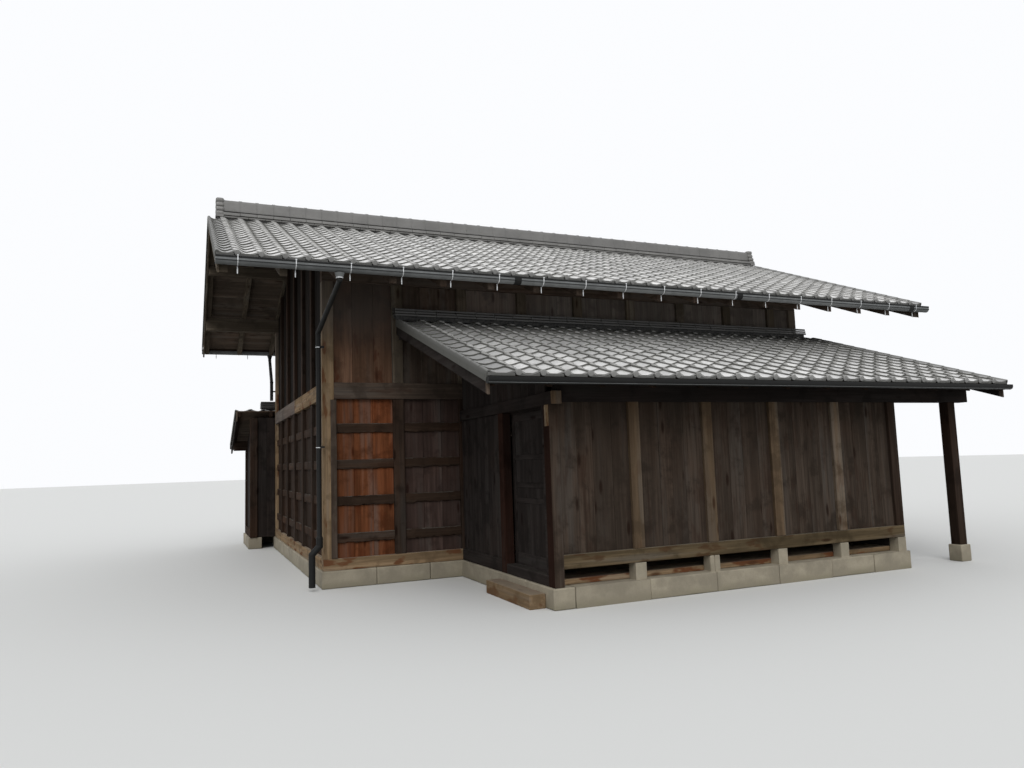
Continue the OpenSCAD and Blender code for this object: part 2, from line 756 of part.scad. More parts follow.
// Front plate with its top cut to the slope, the side beam over the door and the ledger on the main wall
module lean_to_plates() {
    y1 = -lt_d + lt_post;
    color(dark_wood) {
        along_x(lt_x + lt_side_post + joint, lt_deck_x1 - barge_t - joint,
            [[-lt_d, lt_plate_z], [y1, lt_plate_z], [y1, lt_rafter_z(y1)], [-lt_d, lt_rafter_z(-lt_d)]]);
        block([lt_x, -lt_d - 110, head_z], [lt_x + lt_side_post, 0, lt_head_top]);
        block([lt_x1 - lt_post, y1 + joint, head_z], [lt_x1, 0, lt_head_top]);
        ledger();
    }
}
module ledger() {
    along_x(lt_deck_x0 + barge_t + joint, lt_deck_x1 - barge_t - joint,
        [[-45, lt_rafter_z(0) - 140], [0, lt_rafter_z(0) - 140], [0, lt_rafter_z(0)], [-45, lt_rafter_z(-45)]]);
}

// Boards of the front, of the side wall with the door and of the right wall
module lean_to_walls() {
    gy = -45;
    xs = concat([lt_x + lt_side_post - lt_post], lt_front_xs);
    color(dark_wood) {
        for (i = [0:len(xs) - 2])
            block([xs[i] + lt_post, -lt_d + 40, lt_sill_z], [xs[i + 1], -lt_d + 40 + board_t, lt_plate_z]);
        block([lt_x + 35, -door_y0 + lt_post, sill_z], [lt_x + 35 + board_t, 0, head_z]);
        for (x = [lt_x + 35, lt_x1 - 35 - board_t])
            along_x(x, x + board_t, [[-lt_d + lt_post + joint, lt_head_top], [gy, lt_head_top], [gy, lt_rafter_z(gy)],
                [-lt_d + lt_post + joint, lt_rafter_z(-lt_d + lt_post)]]);
        block([lt_x1 - 35 - board_t, -lt_d + lt_post, sill_z], [lt_x1 - 35, -lt_post - 10, head_z]);
    }
}

module lean_to_floor() {
    color(tan_wood)
        block([lt_x + lt_side_post + track_w + joint, -lt_d + lt_post + joint, stone_h],
            [lt_x1 - lt_post - joint, -joint, stone_h + floor_t]);
}

module lean_to_rafters() {
    y0 = lt_eave_y + tip_in;
    color(dark_wood)
        rafter_row(lt_xs, lt_rafter_w,
            [[y0, lt_rafter_z(y0)], [0, lt_rafter_z(0)], [0, lt_rafter_z(0) + lt_up(lt_rafter_h)],
                [y0, lt_rafter_z(y0) + lt_up(lt_rafter_h)]]);
}
module lean_to_deck() {
    color(tan_wood)
        along_x(lt_deck_x0, lt_deck_x1, [[lt_eave_y, lt_deck_z(lt_eave_y) - lt_up(deck_t)],
            [0, lt_deck_z(0) - lt_up(deck_t)], [0, lt_deck_z(0)], [lt_eave_y, lt_deck_z(lt_eave_y)]]);
}
module lean_to_tiles() {
    top = -flash_back;
    color(slate_grey)
        translate([lt_deck_x0, top, lt_deck_z(top)]) rotate([90 + lt_angle, 0, 0])
            tile_layer(lt_deck_x1 - lt_deck_x0, (lt_d + lt_over + tile_over + top) / cos(lt_angle), lt_first_roll,
                lt_pitch);
}
// Distance of the tiles' top edge from the wall
flash_back = 30;

// Flat flashing tiles on the tiles' top edge against the wall
module flashing_outline(x0, x1) {
    foot = lt_up(tile_low + tile_roll);
    along_x(x0, x1, [[-flash_w, foot - lt_pitch * flash_w], [0, foot], [0, foot + flash_h],
        [-45, foot + flash_h], [-60, foot + flash_h - 45], [-flash_w, foot - lt_pitch * flash_w + 40]]);
}
module flashings() {
    color(slate_grey) {
        translate([0, 0, lt_top_z]) flashing_outline(lt_deck_x0 - flash_out, main_l + 40);
        translate([0, main_d, rear_top_z]) mirror([0, 1, 0]) flashing_outline(rear_x0 + 200, main_l + 40);
    }
}

// Bargeboards of both lean-tos
module lean_to_bargeboards() {
    low = lt_up(deck_t + lt_barge_h);
    y0 = lt_eave_y + 5;
    color(dark_wood) {
        for (x = [lt_deck_x0, lt_deck_x1 - barge_t])
            along_x(x, x + barge_t - joint, [[y0, lt_deck_z(y0) - low], [0, lt_deck_z(0) - low],
                [0, lt_deck_z(0) - lt_up(deck_t)], [y0, lt_deck_z(y0) - lt_up(deck_t)]]);
        for (x = [rear_deck_x0, rear_deck_x1 - barge_t])
            rear_slope(x, x + barge_t - joint, 0, rear_d + rear_over - 5, low, lt_up(deck_t));
    }
}

// Sliding door: the leaf runs between guide strips behind the side wall's posts
guide_w = 15;
groove = 15;
track_w = leaf_t + 2 * run + 2 * guide_w;
track_x = lt_x + lt_side_post;
leaf_x = track_x + guide_w + run;
leaf_y0 = -lt_d + lt_post + jamb_w - leaf_lap;
leaf_y1 = -door_y0 + leaf_lap;
travel = leaf_y1 - leaf_y0 - 2 * leaf_lap - 30;
track_y0 = leaf_y0 - 10;
track_y1 = leaf_y1 + travel + 15;
head_track_z = head_z - 30;
module door_frame() {
    color(tan_wood) {
        block([lt_x, -lt_d + lt_post + joint, stone_h], [track_x, -door_y0 - joint, threshold_z]);
        block([track_x + joint, track_y0, stone_h], [track_x + track_w, track_y1, threshold_z - groove]);
        block([track_x, track_y0, head_track_z + groove], [track_x + track_w, track_y1, head_z + 60]);
        block([lt_x + 10, -lt_d + lt_post, threshold_z + joint], [track_x, -lt_d + lt_post + jamb_w, head_z - joint]);
        for (x = [track_x + joint, track_x + track_w - guide_w]) {
            block([x, track_y0, threshold_z - groove + joint], [x + guide_w - joint, track_y1, threshold_z]);
            block([x, track_y0, head_track_z], [x + guide_w - joint, track_y1, head_track_z + groove - joint]);
        }
    }
}

// Rails of the leaf from the bottom up, as heights of their lower edges and their widths
leaf_z0 = threshold_z - groove + run;
leaf_z1 = head_track_z + groove - run;
leaf_rails = [[leaf_z0, 150], [1070, 60], [1250, 60], [1580, 60], [leaf_z1 - 100, 100]];
module door_leaf() {
    inset = 9;
    color(dark_wood) {
        for (y = [leaf_y0, leaf_y1 - stile_w])
            block([leaf_x, y, leaf_z0], [leaf_x + leaf_t, y + stile_w, leaf_z1]);
        for (r = leaf_rails)
            block([leaf_x, leaf_y0 + stile_w - 1, r[0]], [leaf_x + leaf_t, leaf_y1 - stile_w + 1, r[0] + r[1]]);
        block([leaf_x + inset, leaf_y0 + 20, leaf_z0 + 20], [leaf_x + leaf_t - inset, leaf_y1 - 20, leaf_z1 - 20]);
        roller_r = 20;
        for (y = [leaf_y0 + 150, leaf_y1 - 150])
            translate([leaf_x + leaf_t / 2 - 6, y, threshold_z - groove + seat + roller_r]) rotate([0, 90, 0])
                cylinder(r = roller_r, h = 12, $fn = 32);
    }
}
module door_step() {
    color(tan_wood)
        block([lt_x - stone_out - step_w, -lt_d + 170, 0], [lt_x - stone_out, -door_y0 + 130, step_h]);
}

// Rear lean-to: posts, sills and plate
module rear_frame() {
    w = lt_post;
    yb = main_d + rear_d;
    n = floor((main_l - rear_x0 - w) / (2 * bay));
    step = (main_l - rear_x0 - w) / n;
    color(dark_wood) {
        block([rear_x0, main_d + w + joint, stone_h], [rear_x0 + w, yb, sill_z]);
        block([rear_x0 + w + joint, yb - w, stone_h], [main_l - w - joint, yb, sill_z]);
        block([main_l - w, main_d + joint, stone_h], [main_l, yb, sill_z]);
        for (i = [0:n])
            block([rear_x0 + i * step, yb - w, sill_z + joint], [rear_x0 + i * step + w, yb, rear_plate_z - joint]);
        block([rear_x0, main_d, stone_h], [rear_x0 + w, main_d + w, rear_rafter_z(w)]);
        along_x(rear_deck_x0 + barge_t + joint, rear_deck_x1 - barge_t - joint,
            [[yb - w, rear_plate_z], [yb, rear_plate_z], [yb, rear_rafter_z(rear_d)],
                [yb - w, rear_rafter_z(rear_d - w)]]);
    }
}
rear_plate_z = rear_rafter_z(rear_d) - 160;
module rear_walls() {
    w = lt_post;
    yb = main_d + rear_d;
    n = floor((main_l - rear_x0 - w) / (2 * bay));
    step = (main_l - rear_x0 - w) / n;
    color(dark_wood) {
        for (i = [0:n - 1])
            block([rear_x0 + i * step + w, yb - 40 - board_t, sill_z], [rear_x0 + (i + 1) * step, yb - 40, rear_plate_z]);
        along_x(rear_x0 + 40, rear_x0 + 40 + board_t, [[main_d + w, sill_z], [yb - w, sill_z],
            [yb - w, rear_plate_z], [yb - w, rear_rafter_z(rear_d - w)], [main_d + w, rear_rafter_z(w)]]);
        along_x(main_l - 40 - board_t, main_l - 40, [[main_d + joint, sill_z], [yb - w, sill_z],
            [yb - w, rear_rafter_z(rear_d - w)], [main_d + joint, rear_rafter_z(0)]]);
        block([rear_x0 + w, main_d + 40, stone_h], [-joint, main_d + 40 + board_t, rear_rafter_z(40 + board_t)]);
    }
}
module rear_slope(x0, x1, y0, y1, low, high) {
    along_x(x0, x1, [[main_d + y0, rear_deck_z(y0) - low], [main_d + y1, rear_deck_z(y1) - low],
        [main_d + y1, rear_deck_z(y1) - high], [main_d + y0, rear_deck_z(y0) - high]]);
}
module rear_rafters() {
    color(dark_wood)
        for (x = rear_xs)
            rear_slope(x, x + lt_rafter_w, 0, rear_d + rear_over - tip_in, lt_up(deck_t + lt_rafter_h), lt_up(deck_t));
}
module rear_deck() {
    color(tan_wood) rear_slope(rear_deck_x0, rear_deck_x1, 0, rear_d + rear_over, lt_up(deck_t), 0);
}
module rear_tiles() {
    color(slate_grey)
        translate([rear_deck_x1, main_d + flash_back, rear_deck_z(flash_back)]) rotate([0, 0, 180])
            rotate([90 + lt_angle, 0, 0])
                tile_layer(rear_deck_x1 - rear_deck_x0, (rear_d + rear_over + tile_over - flash_back) / cos(lt_angle),
                    lt_first_roll, lt_pitch);
}

placed() {
    foundation();
    main_sills();
    corner_posts();
    wall_posts();
    mid_beams();
    eave_plates();
    purlins();
    main_floor();
    front_panels();
    front_upper_wall();
    left_wall();
    right_wall();
    gable_walls();
    back_upper_wall();
    wall_rails();
    rafters_front();
    rafters_back();
    roof_deck_front();
    roof_deck_back();
    roof_tiles_front();
    roof_tiles_back();
    ridge();
    ridge_end_tiles();
    bargeboards();
    gutters();
    gutter_straps();
    downpipes();
    lean_to_posts();
    lean_to_sills();
    lean_to_plates();
    lean_to_walls();
    lean_to_floor();
    lean_to_rafters();
    lean_to_deck();
    lean_to_tiles();
    lean_to_bargeboards();
    flashings();
    door_frame();
    door_leaf();
    door_step();
    rear_frame();
    rear_walls();
    rear_rafters();
    rear_deck();
    rear_tiles();
}
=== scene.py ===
"""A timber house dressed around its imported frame: tiles, boards, stones, door and finishes."""

import math
from random import Random

import bmesh
import bpy
from bpy.props import FloatProperty, FloatVectorProperty, IntProperty, PointerProperty
from mathutils import Matrix, Vector


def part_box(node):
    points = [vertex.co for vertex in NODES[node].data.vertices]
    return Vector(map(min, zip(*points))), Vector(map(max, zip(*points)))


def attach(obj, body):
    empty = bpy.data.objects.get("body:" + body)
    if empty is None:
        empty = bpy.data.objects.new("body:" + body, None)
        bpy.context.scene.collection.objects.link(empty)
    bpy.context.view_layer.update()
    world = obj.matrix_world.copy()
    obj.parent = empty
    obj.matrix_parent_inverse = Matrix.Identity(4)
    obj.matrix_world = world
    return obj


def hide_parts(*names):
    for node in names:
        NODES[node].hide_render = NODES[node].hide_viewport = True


bl_info = {
    "name": "Timber house with tiled roofs",
    "version": (1, 0, 0),
    "blender": (4, 5, 0),
    "location": "View3D > Sidebar > House",
    "description": "Builds the tiles, boards, stones, door and finishes of a timber house",
    "category": "Add Mesh",
}

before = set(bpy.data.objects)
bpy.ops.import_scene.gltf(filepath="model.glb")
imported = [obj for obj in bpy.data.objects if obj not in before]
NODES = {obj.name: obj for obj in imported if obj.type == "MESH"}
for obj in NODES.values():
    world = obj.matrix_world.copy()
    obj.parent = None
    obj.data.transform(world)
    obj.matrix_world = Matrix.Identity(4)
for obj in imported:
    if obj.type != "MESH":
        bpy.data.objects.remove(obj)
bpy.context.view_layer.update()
HOUSE = "house"
DOOR = "door"
LEAN_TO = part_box("lean_to_walls")

# The main block's front left corner at ground level, from which places on the house are measured
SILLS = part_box("main_sills")
HOME = Vector((SILLS[0].x, SILLS[0].y, 0))

# The camera's place from there, its turns in degrees and its lens in millimetres
CAMERA_AT = (-1.634, -10.087, 1.563)
CAMERA_TURN = 23.44
CAMERA_TILT = 5.887
CAMERA_ROLL = -1.884
CAMERA_LENS = 26.41
# The sun's turns and spread in degrees, its strength and that of the sky
SUN_TURN = -25
SUN_TILT = 48
SUN_SPREAD = 40
SUN_STRENGTH = 1.2
SKY_STRENGTH = 0.75


def home(x, y, z):
    """A point measured from the main block's front left corner."""
    return HOME + Vector((x, y, z))


def turned(degrees, axis):
    """A turn about an axis."""
    return Matrix.Rotation(math.radians(degrees), 4, axis)


def placed(name, data):
    """An object in the scene with its data."""
    item = bpy.data.objects.new(name, data)
    bpy.context.scene.collection.objects.link(item)
    return item


def tint(name, text, *colour):
    """A colour that a user would change."""
    return FloatVectorProperty(name=name, description=text, subtype="COLOR", default=colour)


class HouseSizes(bpy.types.PropertyGroup):
    """Sizes that a user would change."""

    tile_w: FloatProperty(
        name="Tile width", description="Working width of a pan tile", default=0.265, unit="LENGTH"
    )
    course: FloatProperty(
        name="Tile course", description="Length of a course of tiles", default=0.24, unit="LENGTH"
    )
    seed: IntProperty(name="Seed", description="Start of the random draws", default=7)


class HouseColours(bpy.types.PropertyGroup):
    """Colours of the finishes."""

    dark: tint("Dark timber", "Weathered posts and boards", 0.043, 0.029, 0.0215)
    # Shaded timber is painted shade: a dark colour for boards, sills and the door that stand in shade
    shade: tint("Shaded timber", "Boards and door in the shade", 0.037, 0.031, 0.0285)
    # A near-black colour that paints the deep shade under the verges, on the gable boards
    night: tint("Sooty timber", "Timbers deep under the verges", 0.0135, 0.0105, 0.0085)
    brown: tint("Brown timber", "Beams and plates", 0.105, 0.078, 0.06)
    upper: tint("Upper boards", "Warm brown boards over the beam", 0.178, 0.099, 0.062)
    # Smoked boards: grey-brown timber, lightened with painted light for the boards under the eaves
    smoke: tint("Smoked boards", "Grey-brown boards under the eaves", 0.2, 0.168, 0.146)
    worn: tint("Worn timber", "Lean-to boards in the weather", 0.063, 0.047, 0.036)
    red: tint("Red timber", "Sheltered red-brown boards", 0.16, 0.057, 0.025)
    # Umber is the red boards darkened with painted shade, for the bay that lies in shade
    umber: tint("Umber timber", "Red-brown boards in the shade", 0.085, 0.056, 0.047)
    tan: tint("Tan timber", "Sun-bleached posts and sills", 0.3, 0.205, 0.118)
    post: tint("Lean-to post", "Pale posts of the lean-to", 0.15, 0.104, 0.065)
    jamb: tint("Door post", "Reddish posts beside the door", 0.034, 0.0175, 0.013)
    eave: tint("Eave timber", "Rafters and purlins", 0.14, 0.112, 0.082)
    deck: tint("Roof boarding", "Boarding seen from below", 0.158, 0.122, 0.094)
    moss: tint("Mossy timber", "Raised sill of the lean-to", 0.115, 0.084, 0.048)
    rail: tint("Wall rail", "Rails between the posts", 0.058, 0.037, 0.026)
    tile: tint("Roof tile", "Silver sheen of smoked clay", 0.82, 0.81, 0.79)
    ridge: tint("Ridge tile", "Clay of ridge and end tiles", 0.205, 0.2, 0.19)
    metal: tint("Gutter paint", "Painted sheet of the main gutters", 0.165, 0.171, 0.17)
    drain: tint("Drain paint", "Near black paint of low gutters and pipes", 0.0095, 0.0095, 0.009)
    stone: tint("Base stone", "Cut stones of the base", 0.4, 0.35, 0.26)


class Num:
    """A shader value: arithmetic on it adds Math nodes."""

    def __init__(self, nodes, socket):
        self.nodes = nodes
        self.socket = socket

    def _math(self, operation, *values):
        return self.nodes.add("Math", dict(enumerate(values)), operation=operation)

    def __add__(self, other):
        return self._math("ADD", self, other)

    __radd__ = __add__

    def __mul__(self, other):
        return self._math("MULTIPLY", self, other)

    def __sub__(self, other):
        return self._math("SUBTRACT", self, other)

    def __rsub__(self, other):
        return self._math("SUBTRACT", other, self)

    def larger(self, other):
        return self._math("MAXIMUM", self, other)

    def over(self, edge, soft):
        """0 below edge, 1 above edge + soft."""
        values = {"Value": self, "From Min": edge, "From Max": edge + soft}
        return self.nodes.add("MapRange", values, interpolation_type="SMOOTHSTEP")


class Nodes:
    """The nodes of a material or of the world."""

    def __init__(self, owner):
        owner.use_nodes = True
        self.tree = owner.node_tree

    def put(self, node, values):
        """Sets a node's inputs, each to a plain value or by a link from a shader value."""
        for key, value in values.items():
            if isinstance(value, Num):
                self.tree.links.new(value.socket, node.inputs[key])
            else:
                node.inputs[key].default_value = value

    def add(self, kind, values, output=0, **settings):
        """Adds a node and gives one of its outputs."""
        node = self.tree.nodes.new("ShaderNode" + kind)
        for key, value in settings.items():
            setattr(node, key, value)
        self.put(node, values)
        return Num(self, node.outputs[output])

    def in_view(self):
        """1 for what the camera or a reflection sees, 0 for the light that falls on things."""
        seen = self.add("LightPath", {}, "Is Camera Ray")
        for name in ("Is Glossy Ray", "Is Transmission Ray"):
            seen = seen.larger(self.add("LightPath", {}, name))
        return seen


class Look(Nodes):
    """One material and the nodes that make it."""

    def __init__(self, name):
        self.material = bpy.data.materials.new(name)
        super().__init__(self.material)
        self.place = self.add("TexCoord", {}, "Object")

    def noise(self, scale, detail, rough, place=None):
        values = {"Vector": place or self.place, "Scale": scale, "Detail": detail, "Roughness": rough}
        return self.add("TexNoise", values)

    def stretch(self, place, axis, across, along):
        """Places scaled along an axis and across it, for a grain that runs along it."""
        scale = [along if i == axis else across for i in range(3)]
        return self.add("Mapping", {"Vector": place, "Scale": scale})

    def mix(self, share, low, high):
        """Sets the colour to low where the share is 0 and to high where it is 1."""
        self.colour = self.add("Mix", {"Factor": share, 6: low, 7: high}, 2, data_type="RGBA")

    def coat(self, share, colour):
        """Mixes a colour over what the look has so far."""
        self.mix(share, self.colour, colour)

    def height(self, vector=None):
        """Height above the ground, or how far a direction points up."""
        return self.add("SeparateXYZ", {0: vector or self.place}, "Z")

    def share(self, name):
        """A share from 0 to 1 that a piece's mesh carries: a part's tone, or a tile's painted shade and
        dirt.
        """
        return self.add("Attribute", {}, "Fac", attribute_name=name)

    def finish(self, rough, bump=None, strength=0.0, distance=0.0, **fixed):
        """Sets the shader's inputs, with a height as bump, and gives the material."""
        inputs = {"Base Color": self.colour, "Roughness": rough}
        inputs.update({name.replace("_", " "): value for name, value in fixed.items()})
        if bump is not None:
            inputs["Normal"] = self.add("Bump", {"Height": bump, "Strength": strength, "Distance": distance})
        self.put(self.tree.nodes["Principled BSDF"], inputs)
        return self.material


def rgba(colour, *gains):
    """An opaque colour, its channels scaled by one gain or by one each."""
    gains = gains if len(gains) == 3 else (gains or (1.0,)) * 3
    return tuple(min(1.0, c * gain) for c, gain in zip(colour, gains)) + (1.0,)


def timber(name, colour, axis, dust, red, rust, eave_shade):
    """Weathered timber with its grain along an axis; each board's tone shifts grain and shade.

    Dust and painted light from above pale it where it faces up, red warms it in clouds, rust stains it in
    blots, and eave_shade paints shade that darkens and greys it up under the eaves.
    """
    look = Look(name)
    tone = look.share("tone")
    shift = look.add("CombineXYZ", {0: tone * 17.0, 1: tone * 11.0, 2: tone * 13.0})
    place = look.add("VectorMath", {0: look.place, 1: shift}, operation="ADD")
    grain = look.noise(1.0, 5.0, 0.6, look.stretch(place, axis, 36.0, 1.5))
    streak = look.noise(1.0, 3.0, 0.5, look.stretch(place, axis, 7.0, 0.4))
    stain = look.noise(3.4, 5.0, 0.6, place)
    cloud = look.noise(0.9, 3.0, 0.5)
    blot = look.noise(1.0, 3.0, 0.55, look.stretch(place, axis, 7.0, 2.4))
    cells = {"Vector": look.stretch(place, axis, 6.0, 1.6), "Scale": 1.0}
    knot = 1 - look.add("TexVoronoi", cells).over(0.06, 0.12)
    mean = sum(colour) / 3
    silver = (mean * 1.7,) * 3
    pale = (0.05 + mean * 1.6,) * 3
    look.mix(grain.over(0.34, 0.3), rgba(colour, 0.74), rgba(colour, 1.3))
    look.coat(streak.over(0.46, 0.2) * 0.65, rgba(colour, 0.48))
    look.coat(cloud.over(0.42, 0.3) * red, rgba(colour, 1.9, 1.35, 1.05))
    look.coat((1 - streak).over(0.5, 0.2) * 0.4, rgba(silver, 1.06, 1.0, 0.9))
    look.coat(blot.over(0.55, 0.09) * rust, rgba(colour, 0.52, 0.3, 0.24))
    look.coat(stain.over(0.5, 0.16) * 0.65, rgba(colour, 0.42))
    look.coat(tone * 0.6, rgba(colour, 0.5))
    look.coat(knot * 0.85, rgba(colour, 0.3, 0.22, 0.2))
    # Painted shade: darker and greyer from 2.95 m up towards the eaves
    if eave_shade:
        look.coat(look.height().over(2.95, 0.8) * eave_shade, rgba(silver, 0.4, 0.365, 0.33))
    # Paler where it faces up: dust, and painted light from the sky above
    upward = look.height(look.add("NewGeometry", {}, "Normal"))
    look.coat(upward.over(0.6, 0.3) * dust, rgba(pale, 1.0, 0.93, 0.8))
    relief = grain * 0.6 + streak * 0.5 - knot * 0.4
    return look.finish(0.62 + grain * 0.25, relief, 0.45, 0.004, Specular_IOR_Level=0.02)


# Each timber's shares of dust and painted top light, red, rust, and painted shade under the eaves
TIMBERS = {
    "dark": (0.25, 0.35, 0.2, 0.0),
    "shade": (0.2, 0.15, 0.0, 0.0),
    "night": (0.1, 0.1, 0.0, 0.0),
    "brown": (0.3, 0.1, 0.4, 0.0),
    "upper": (0.2, 0.6, 0.8, 0.75),
    "smoke": (0.2, 0.2, 0.0, 0.3),
    "worn": (0.3, 0.2, 0.3, 0.0),
    "red": (0.3, 0.35, 0.35, 0.0),
    "umber": (0.3, 0.3, 0.2, 0.0),
    "tan": (0.3, 0.0, 1.0, 0.7),
    "post": (0.4, 0.1, 0.3, 0.0),
    "jamb": (0.2, 0.3, 0.0, 0.0),
    "eave": (0.2, 0.0, 0.0, 0.0),
    "moss": (0.5, 0.0, 0.6, 0.0),
    "deck": (0.0, 0.25, 0.0, 0.0),
    "rail": (0.9, 0.4, 0.3, 0.0),
}


def colours():
    """The colours that the user has set."""
    return bpy.context.scene.house_colours


def wood(kind, axis):
    """The timber look of a colour with its grain along an axis; made once."""
    name = kind + " timber " + "XYZ"[axis]
    return bpy.data.materials.get(name) or timber(name, getattr(colours(), kind), axis, *TIMBERS[kind])


def clay_tile(name, colour, sheen):
    """Smoked clay tile: a silvery sheen, dull stains, and dark edges painted with shade and dirt."""
    look = Look(name)
    cloud = look.noise(2.6, 4.0, 0.6)
    patch = look.noise(11.0, 4.0, 0.6)
    speck = look.noise(60.0, 4.0, 0.7)
    edge = look.share("edge")
    look.mix(cloud.over(0.35, 0.35), rgba(colour, 0.86), rgba(colour, 1.1))
    # Tone darkens a tile: at random, and on the lean-to's upper courses with painted shade
    look.coat(look.share("tone") * 0.85, rgba(colour, 0.42))
    look.coat(patch.over(0.58, 0.14) * 0.3, rgba(colour, 0.62, 0.64, 0.54))
    look.coat(speck.over(0.62, 0.1) * 0.3, rgba(colour, 0.45))
    # The share named edge paints shade at the tiles' fronts, joints and crests, and shade and dirt on the
    # verge edges
    look.coat(edge * 0.95, rgba(colour, 0.085, 0.085, 0.075))
    rough = 0.38 + cloud * 0.12 + patch.over(0.5, 0.3) * 0.14 + edge * 0.3
    return look.finish(rough, speck * 0.6 + patch, 0.15, 0.003, Metallic=(1 - edge * 0.8) * sheen)


def mortar(name):
    """Dark mortar bedded under ridge and flashing tiles."""
    look = Look(name)
    speck = look.noise(30.0, 5.0, 0.7)
    look.mix(speck.over(0.35, 0.3), (0.025, 0.025, 0.025, 1), (0.07, 0.068, 0.064, 1))
    return look.finish(0.9, speck, 0.6, 0.006)


def painted_sheet(name, colour):
    """Painted gutter sheet, dusty in patches."""
    look = Look(name)
    dust = look.noise(6.0, 5.0, 0.6)
    look.mix(dust.over(0.4, 0.35) * 0.5, rgba(colour), rgba(colour, 1.7))
    return look.finish(0.5 + dust * 0.25, dust, 0.05, 0.002, Specular_IOR_Level=0.2)


def bright_metal(name):
    """Galvanised strap."""
    look = Look(name)
    spangle = look.noise(40.0, 2.0, 0.5)
    look.mix(spangle, (0.6, 0.61, 0.62, 1), (0.85, 0.86, 0.86, 1))
    return look.finish(0.35 + spangle * 0.2, Metallic=0.35)


def cut_stone(name, colour):
    """Cut base stone with speckle, tool marks and grime at its foot."""
    look = Look(name)
    speck = look.noise(110.0, 4.0, 0.75)
    tooling = look.noise(1.0, 4.0, 0.6, look.stretch(look.place, 2, 30.0, 8.0))
    cloud = look.noise(3.5, 5.0, 0.6)
    look.mix(cloud.over(0.35, 0.35), rgba(colour, 0.7), rgba(colour, 1.12))
    look.coat(speck.over(0.5, 0.2) * 0.5, rgba(colour, 0.55))
    look.coat(look.share("tone") * 0.5, rgba(colour, 0.62))
    damp = (1 - look.height().over(0.0, 0.12)) * cloud.over(0.3, 0.4)
    look.coat(damp * 0.7, rgba(colour, 0.42, 0.44, 0.36))
    return look.finish(0.8 + speck * 0.15, speck * 0.4 + tooling + cloud, 0.5, 0.006)


def give(obj, materials):
    """Gives an object its materials, in place of the one that a CAD node comes with."""
    if len(obj.data.materials) == 1:
        obj.data.materials.clear()
    for material in materials:
        obj.data.materials.append(material)


def as_mesh(part, name):
    """Turns a part's bmesh into a mesh."""
    mesh = bpy.data.meshes.new(name)
    part.to_mesh(mesh)
    part.free()
    return mesh


class Gather:
    """Collects finished parts in one mesh, each with its look and its own tone."""

    def __init__(self, number):
        self.bm = bmesh.new()
        self.bm.verts.layers.float.new("tone")
        self.bm.verts.layers.float.new("edge")
        self.draw = Random(bpy.context.scene.house_sizes.seed + number)
        self.looks = []

    def stamp(self, mesh, tone=None):
        """Adds a mesh with one tone, which is drawn if none is given."""
        share = self.draw.random() if tone is None else tone
        layer = mesh.attributes.get("tone") or mesh.attributes.new("tone", "FLOAT", "POINT")
        layer.data.foreach_set("value", [share] * len(mesh.vertices))
        self.bm.from_mesh(mesh)

    def add(self, part, look, tone=None):
        """Adds a part with its look."""
        if look not in self.looks:
            self.looks.append(look)
        index = self.looks.index(look)
        for face in part.faces:
            face.material_index = index
        mesh = as_mesh(part, "part")
        self.stamp(mesh, tone)
        bpy.data.meshes.remove(mesh)

    def add_all(self, parts, look):
        """Adds parts of one look, all of a middling tone."""
        for part in parts:
            self.add(part, look, 0.5)

    def keep(self, name, slot, replaces=(), body=HOUSE):
        """Turns the collected parts into a piece that rides on a body."""
        piece = placed(name, as_mesh(self.bm, name))
        give(piece, self.looks)
        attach(piece, body)
        for node in replaces:
            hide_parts(node)


def solids(name):
    """Closed copies of a CAD node's solids, with flat faces in place of triangles."""
    whole = bmesh.new()
    whole.from_mesh(NODES[name].data)
    bmesh.ops.remove_doubles(whole, verts=whole.verts, dist=1e-5)
    whole.faces.index_update()
    found = set()
    parts = []
    for first in whole.faces:
        if first in found:
            continue
        group = [first]
        for face in group:
            if face not in found:
                found.add(face)
                for edge in face.edges:
                    group += edge.link_faces if len(edge.link_faces) == 2 else ()
        members = {face.index for face in group}
        part = whole.copy()
        others = [face for face in part.faces if face.index not in members]
        bmesh.ops.delete(part, geom=others, context="FACES")
        bmesh.ops.dissolve_limit(part, angle_limit=math.radians(1), verts=part.verts, edges=part.edges)
        parts.append(part)
    whole.free()
    return parts


def extent(part):
    """Lowest and highest corners of a part."""
    low = Vector([min(v.co[i] for v in part.verts) for i in range(3)])
    high = Vector([max(v.co[i] for v in part.verts) for i in range(3)])
    return low, high


def long_axis(low, high):
    """The axis on which a box is longest."""
    return max(range(3), key=lambda i: high[i] - low[i])


def level_axis(low, high):
    """The level axis on which a box is longer."""
    return 0 if high.x - low.x > high.y - low.y else 1


def along(axis, length):
    """A vector of a length on an axis."""
    way = Vector((0, 0, 0))
    way[axis] = length
    return way


def moved(part, way):
    """A part, moved."""
    bmesh.ops.translate(part, vec=way, verts=part.verts)
    return part


def cut_between(part, axis, low, high):
    """The stretch of a closed part between two places on an axis, closed where it is cut."""
    piece = part.copy()
    for place, side in ((low, -1), (high, 1)):
        geom = piece.verts[:] + piece.edges[:] + piece.faces[:]
        plane = {"plane_co": along(axis, place), "plane_no": along(axis, side)}
        cut = bmesh.ops.bisect_plane(piece, geom=geom, clear_outer=True, **plane)
        rim = [item for item in cut["geom_cut"] if isinstance(item, bmesh.types.BMEdge)]
        if rim:
            bmesh.ops.holes_fill(piece, edges=rim)
    bmesh.ops.recalc_face_normals(piece, faces=piece.faces)
    return piece


def in_turn(start, sizes):
    """Both ends of each of some lengths laid one after the other."""
    for size in sizes:
        yield start, start + size
        start += size


def split(part, axis, gap, sizes):
    """Lengths of a part, one after the other on an axis, each short of its place by a gap at both ends."""
    for start, end in in_turn(extent(part)[0][axis], sizes):
        yield cut_between(part, axis, start + gap, end - gap)
    part.free()


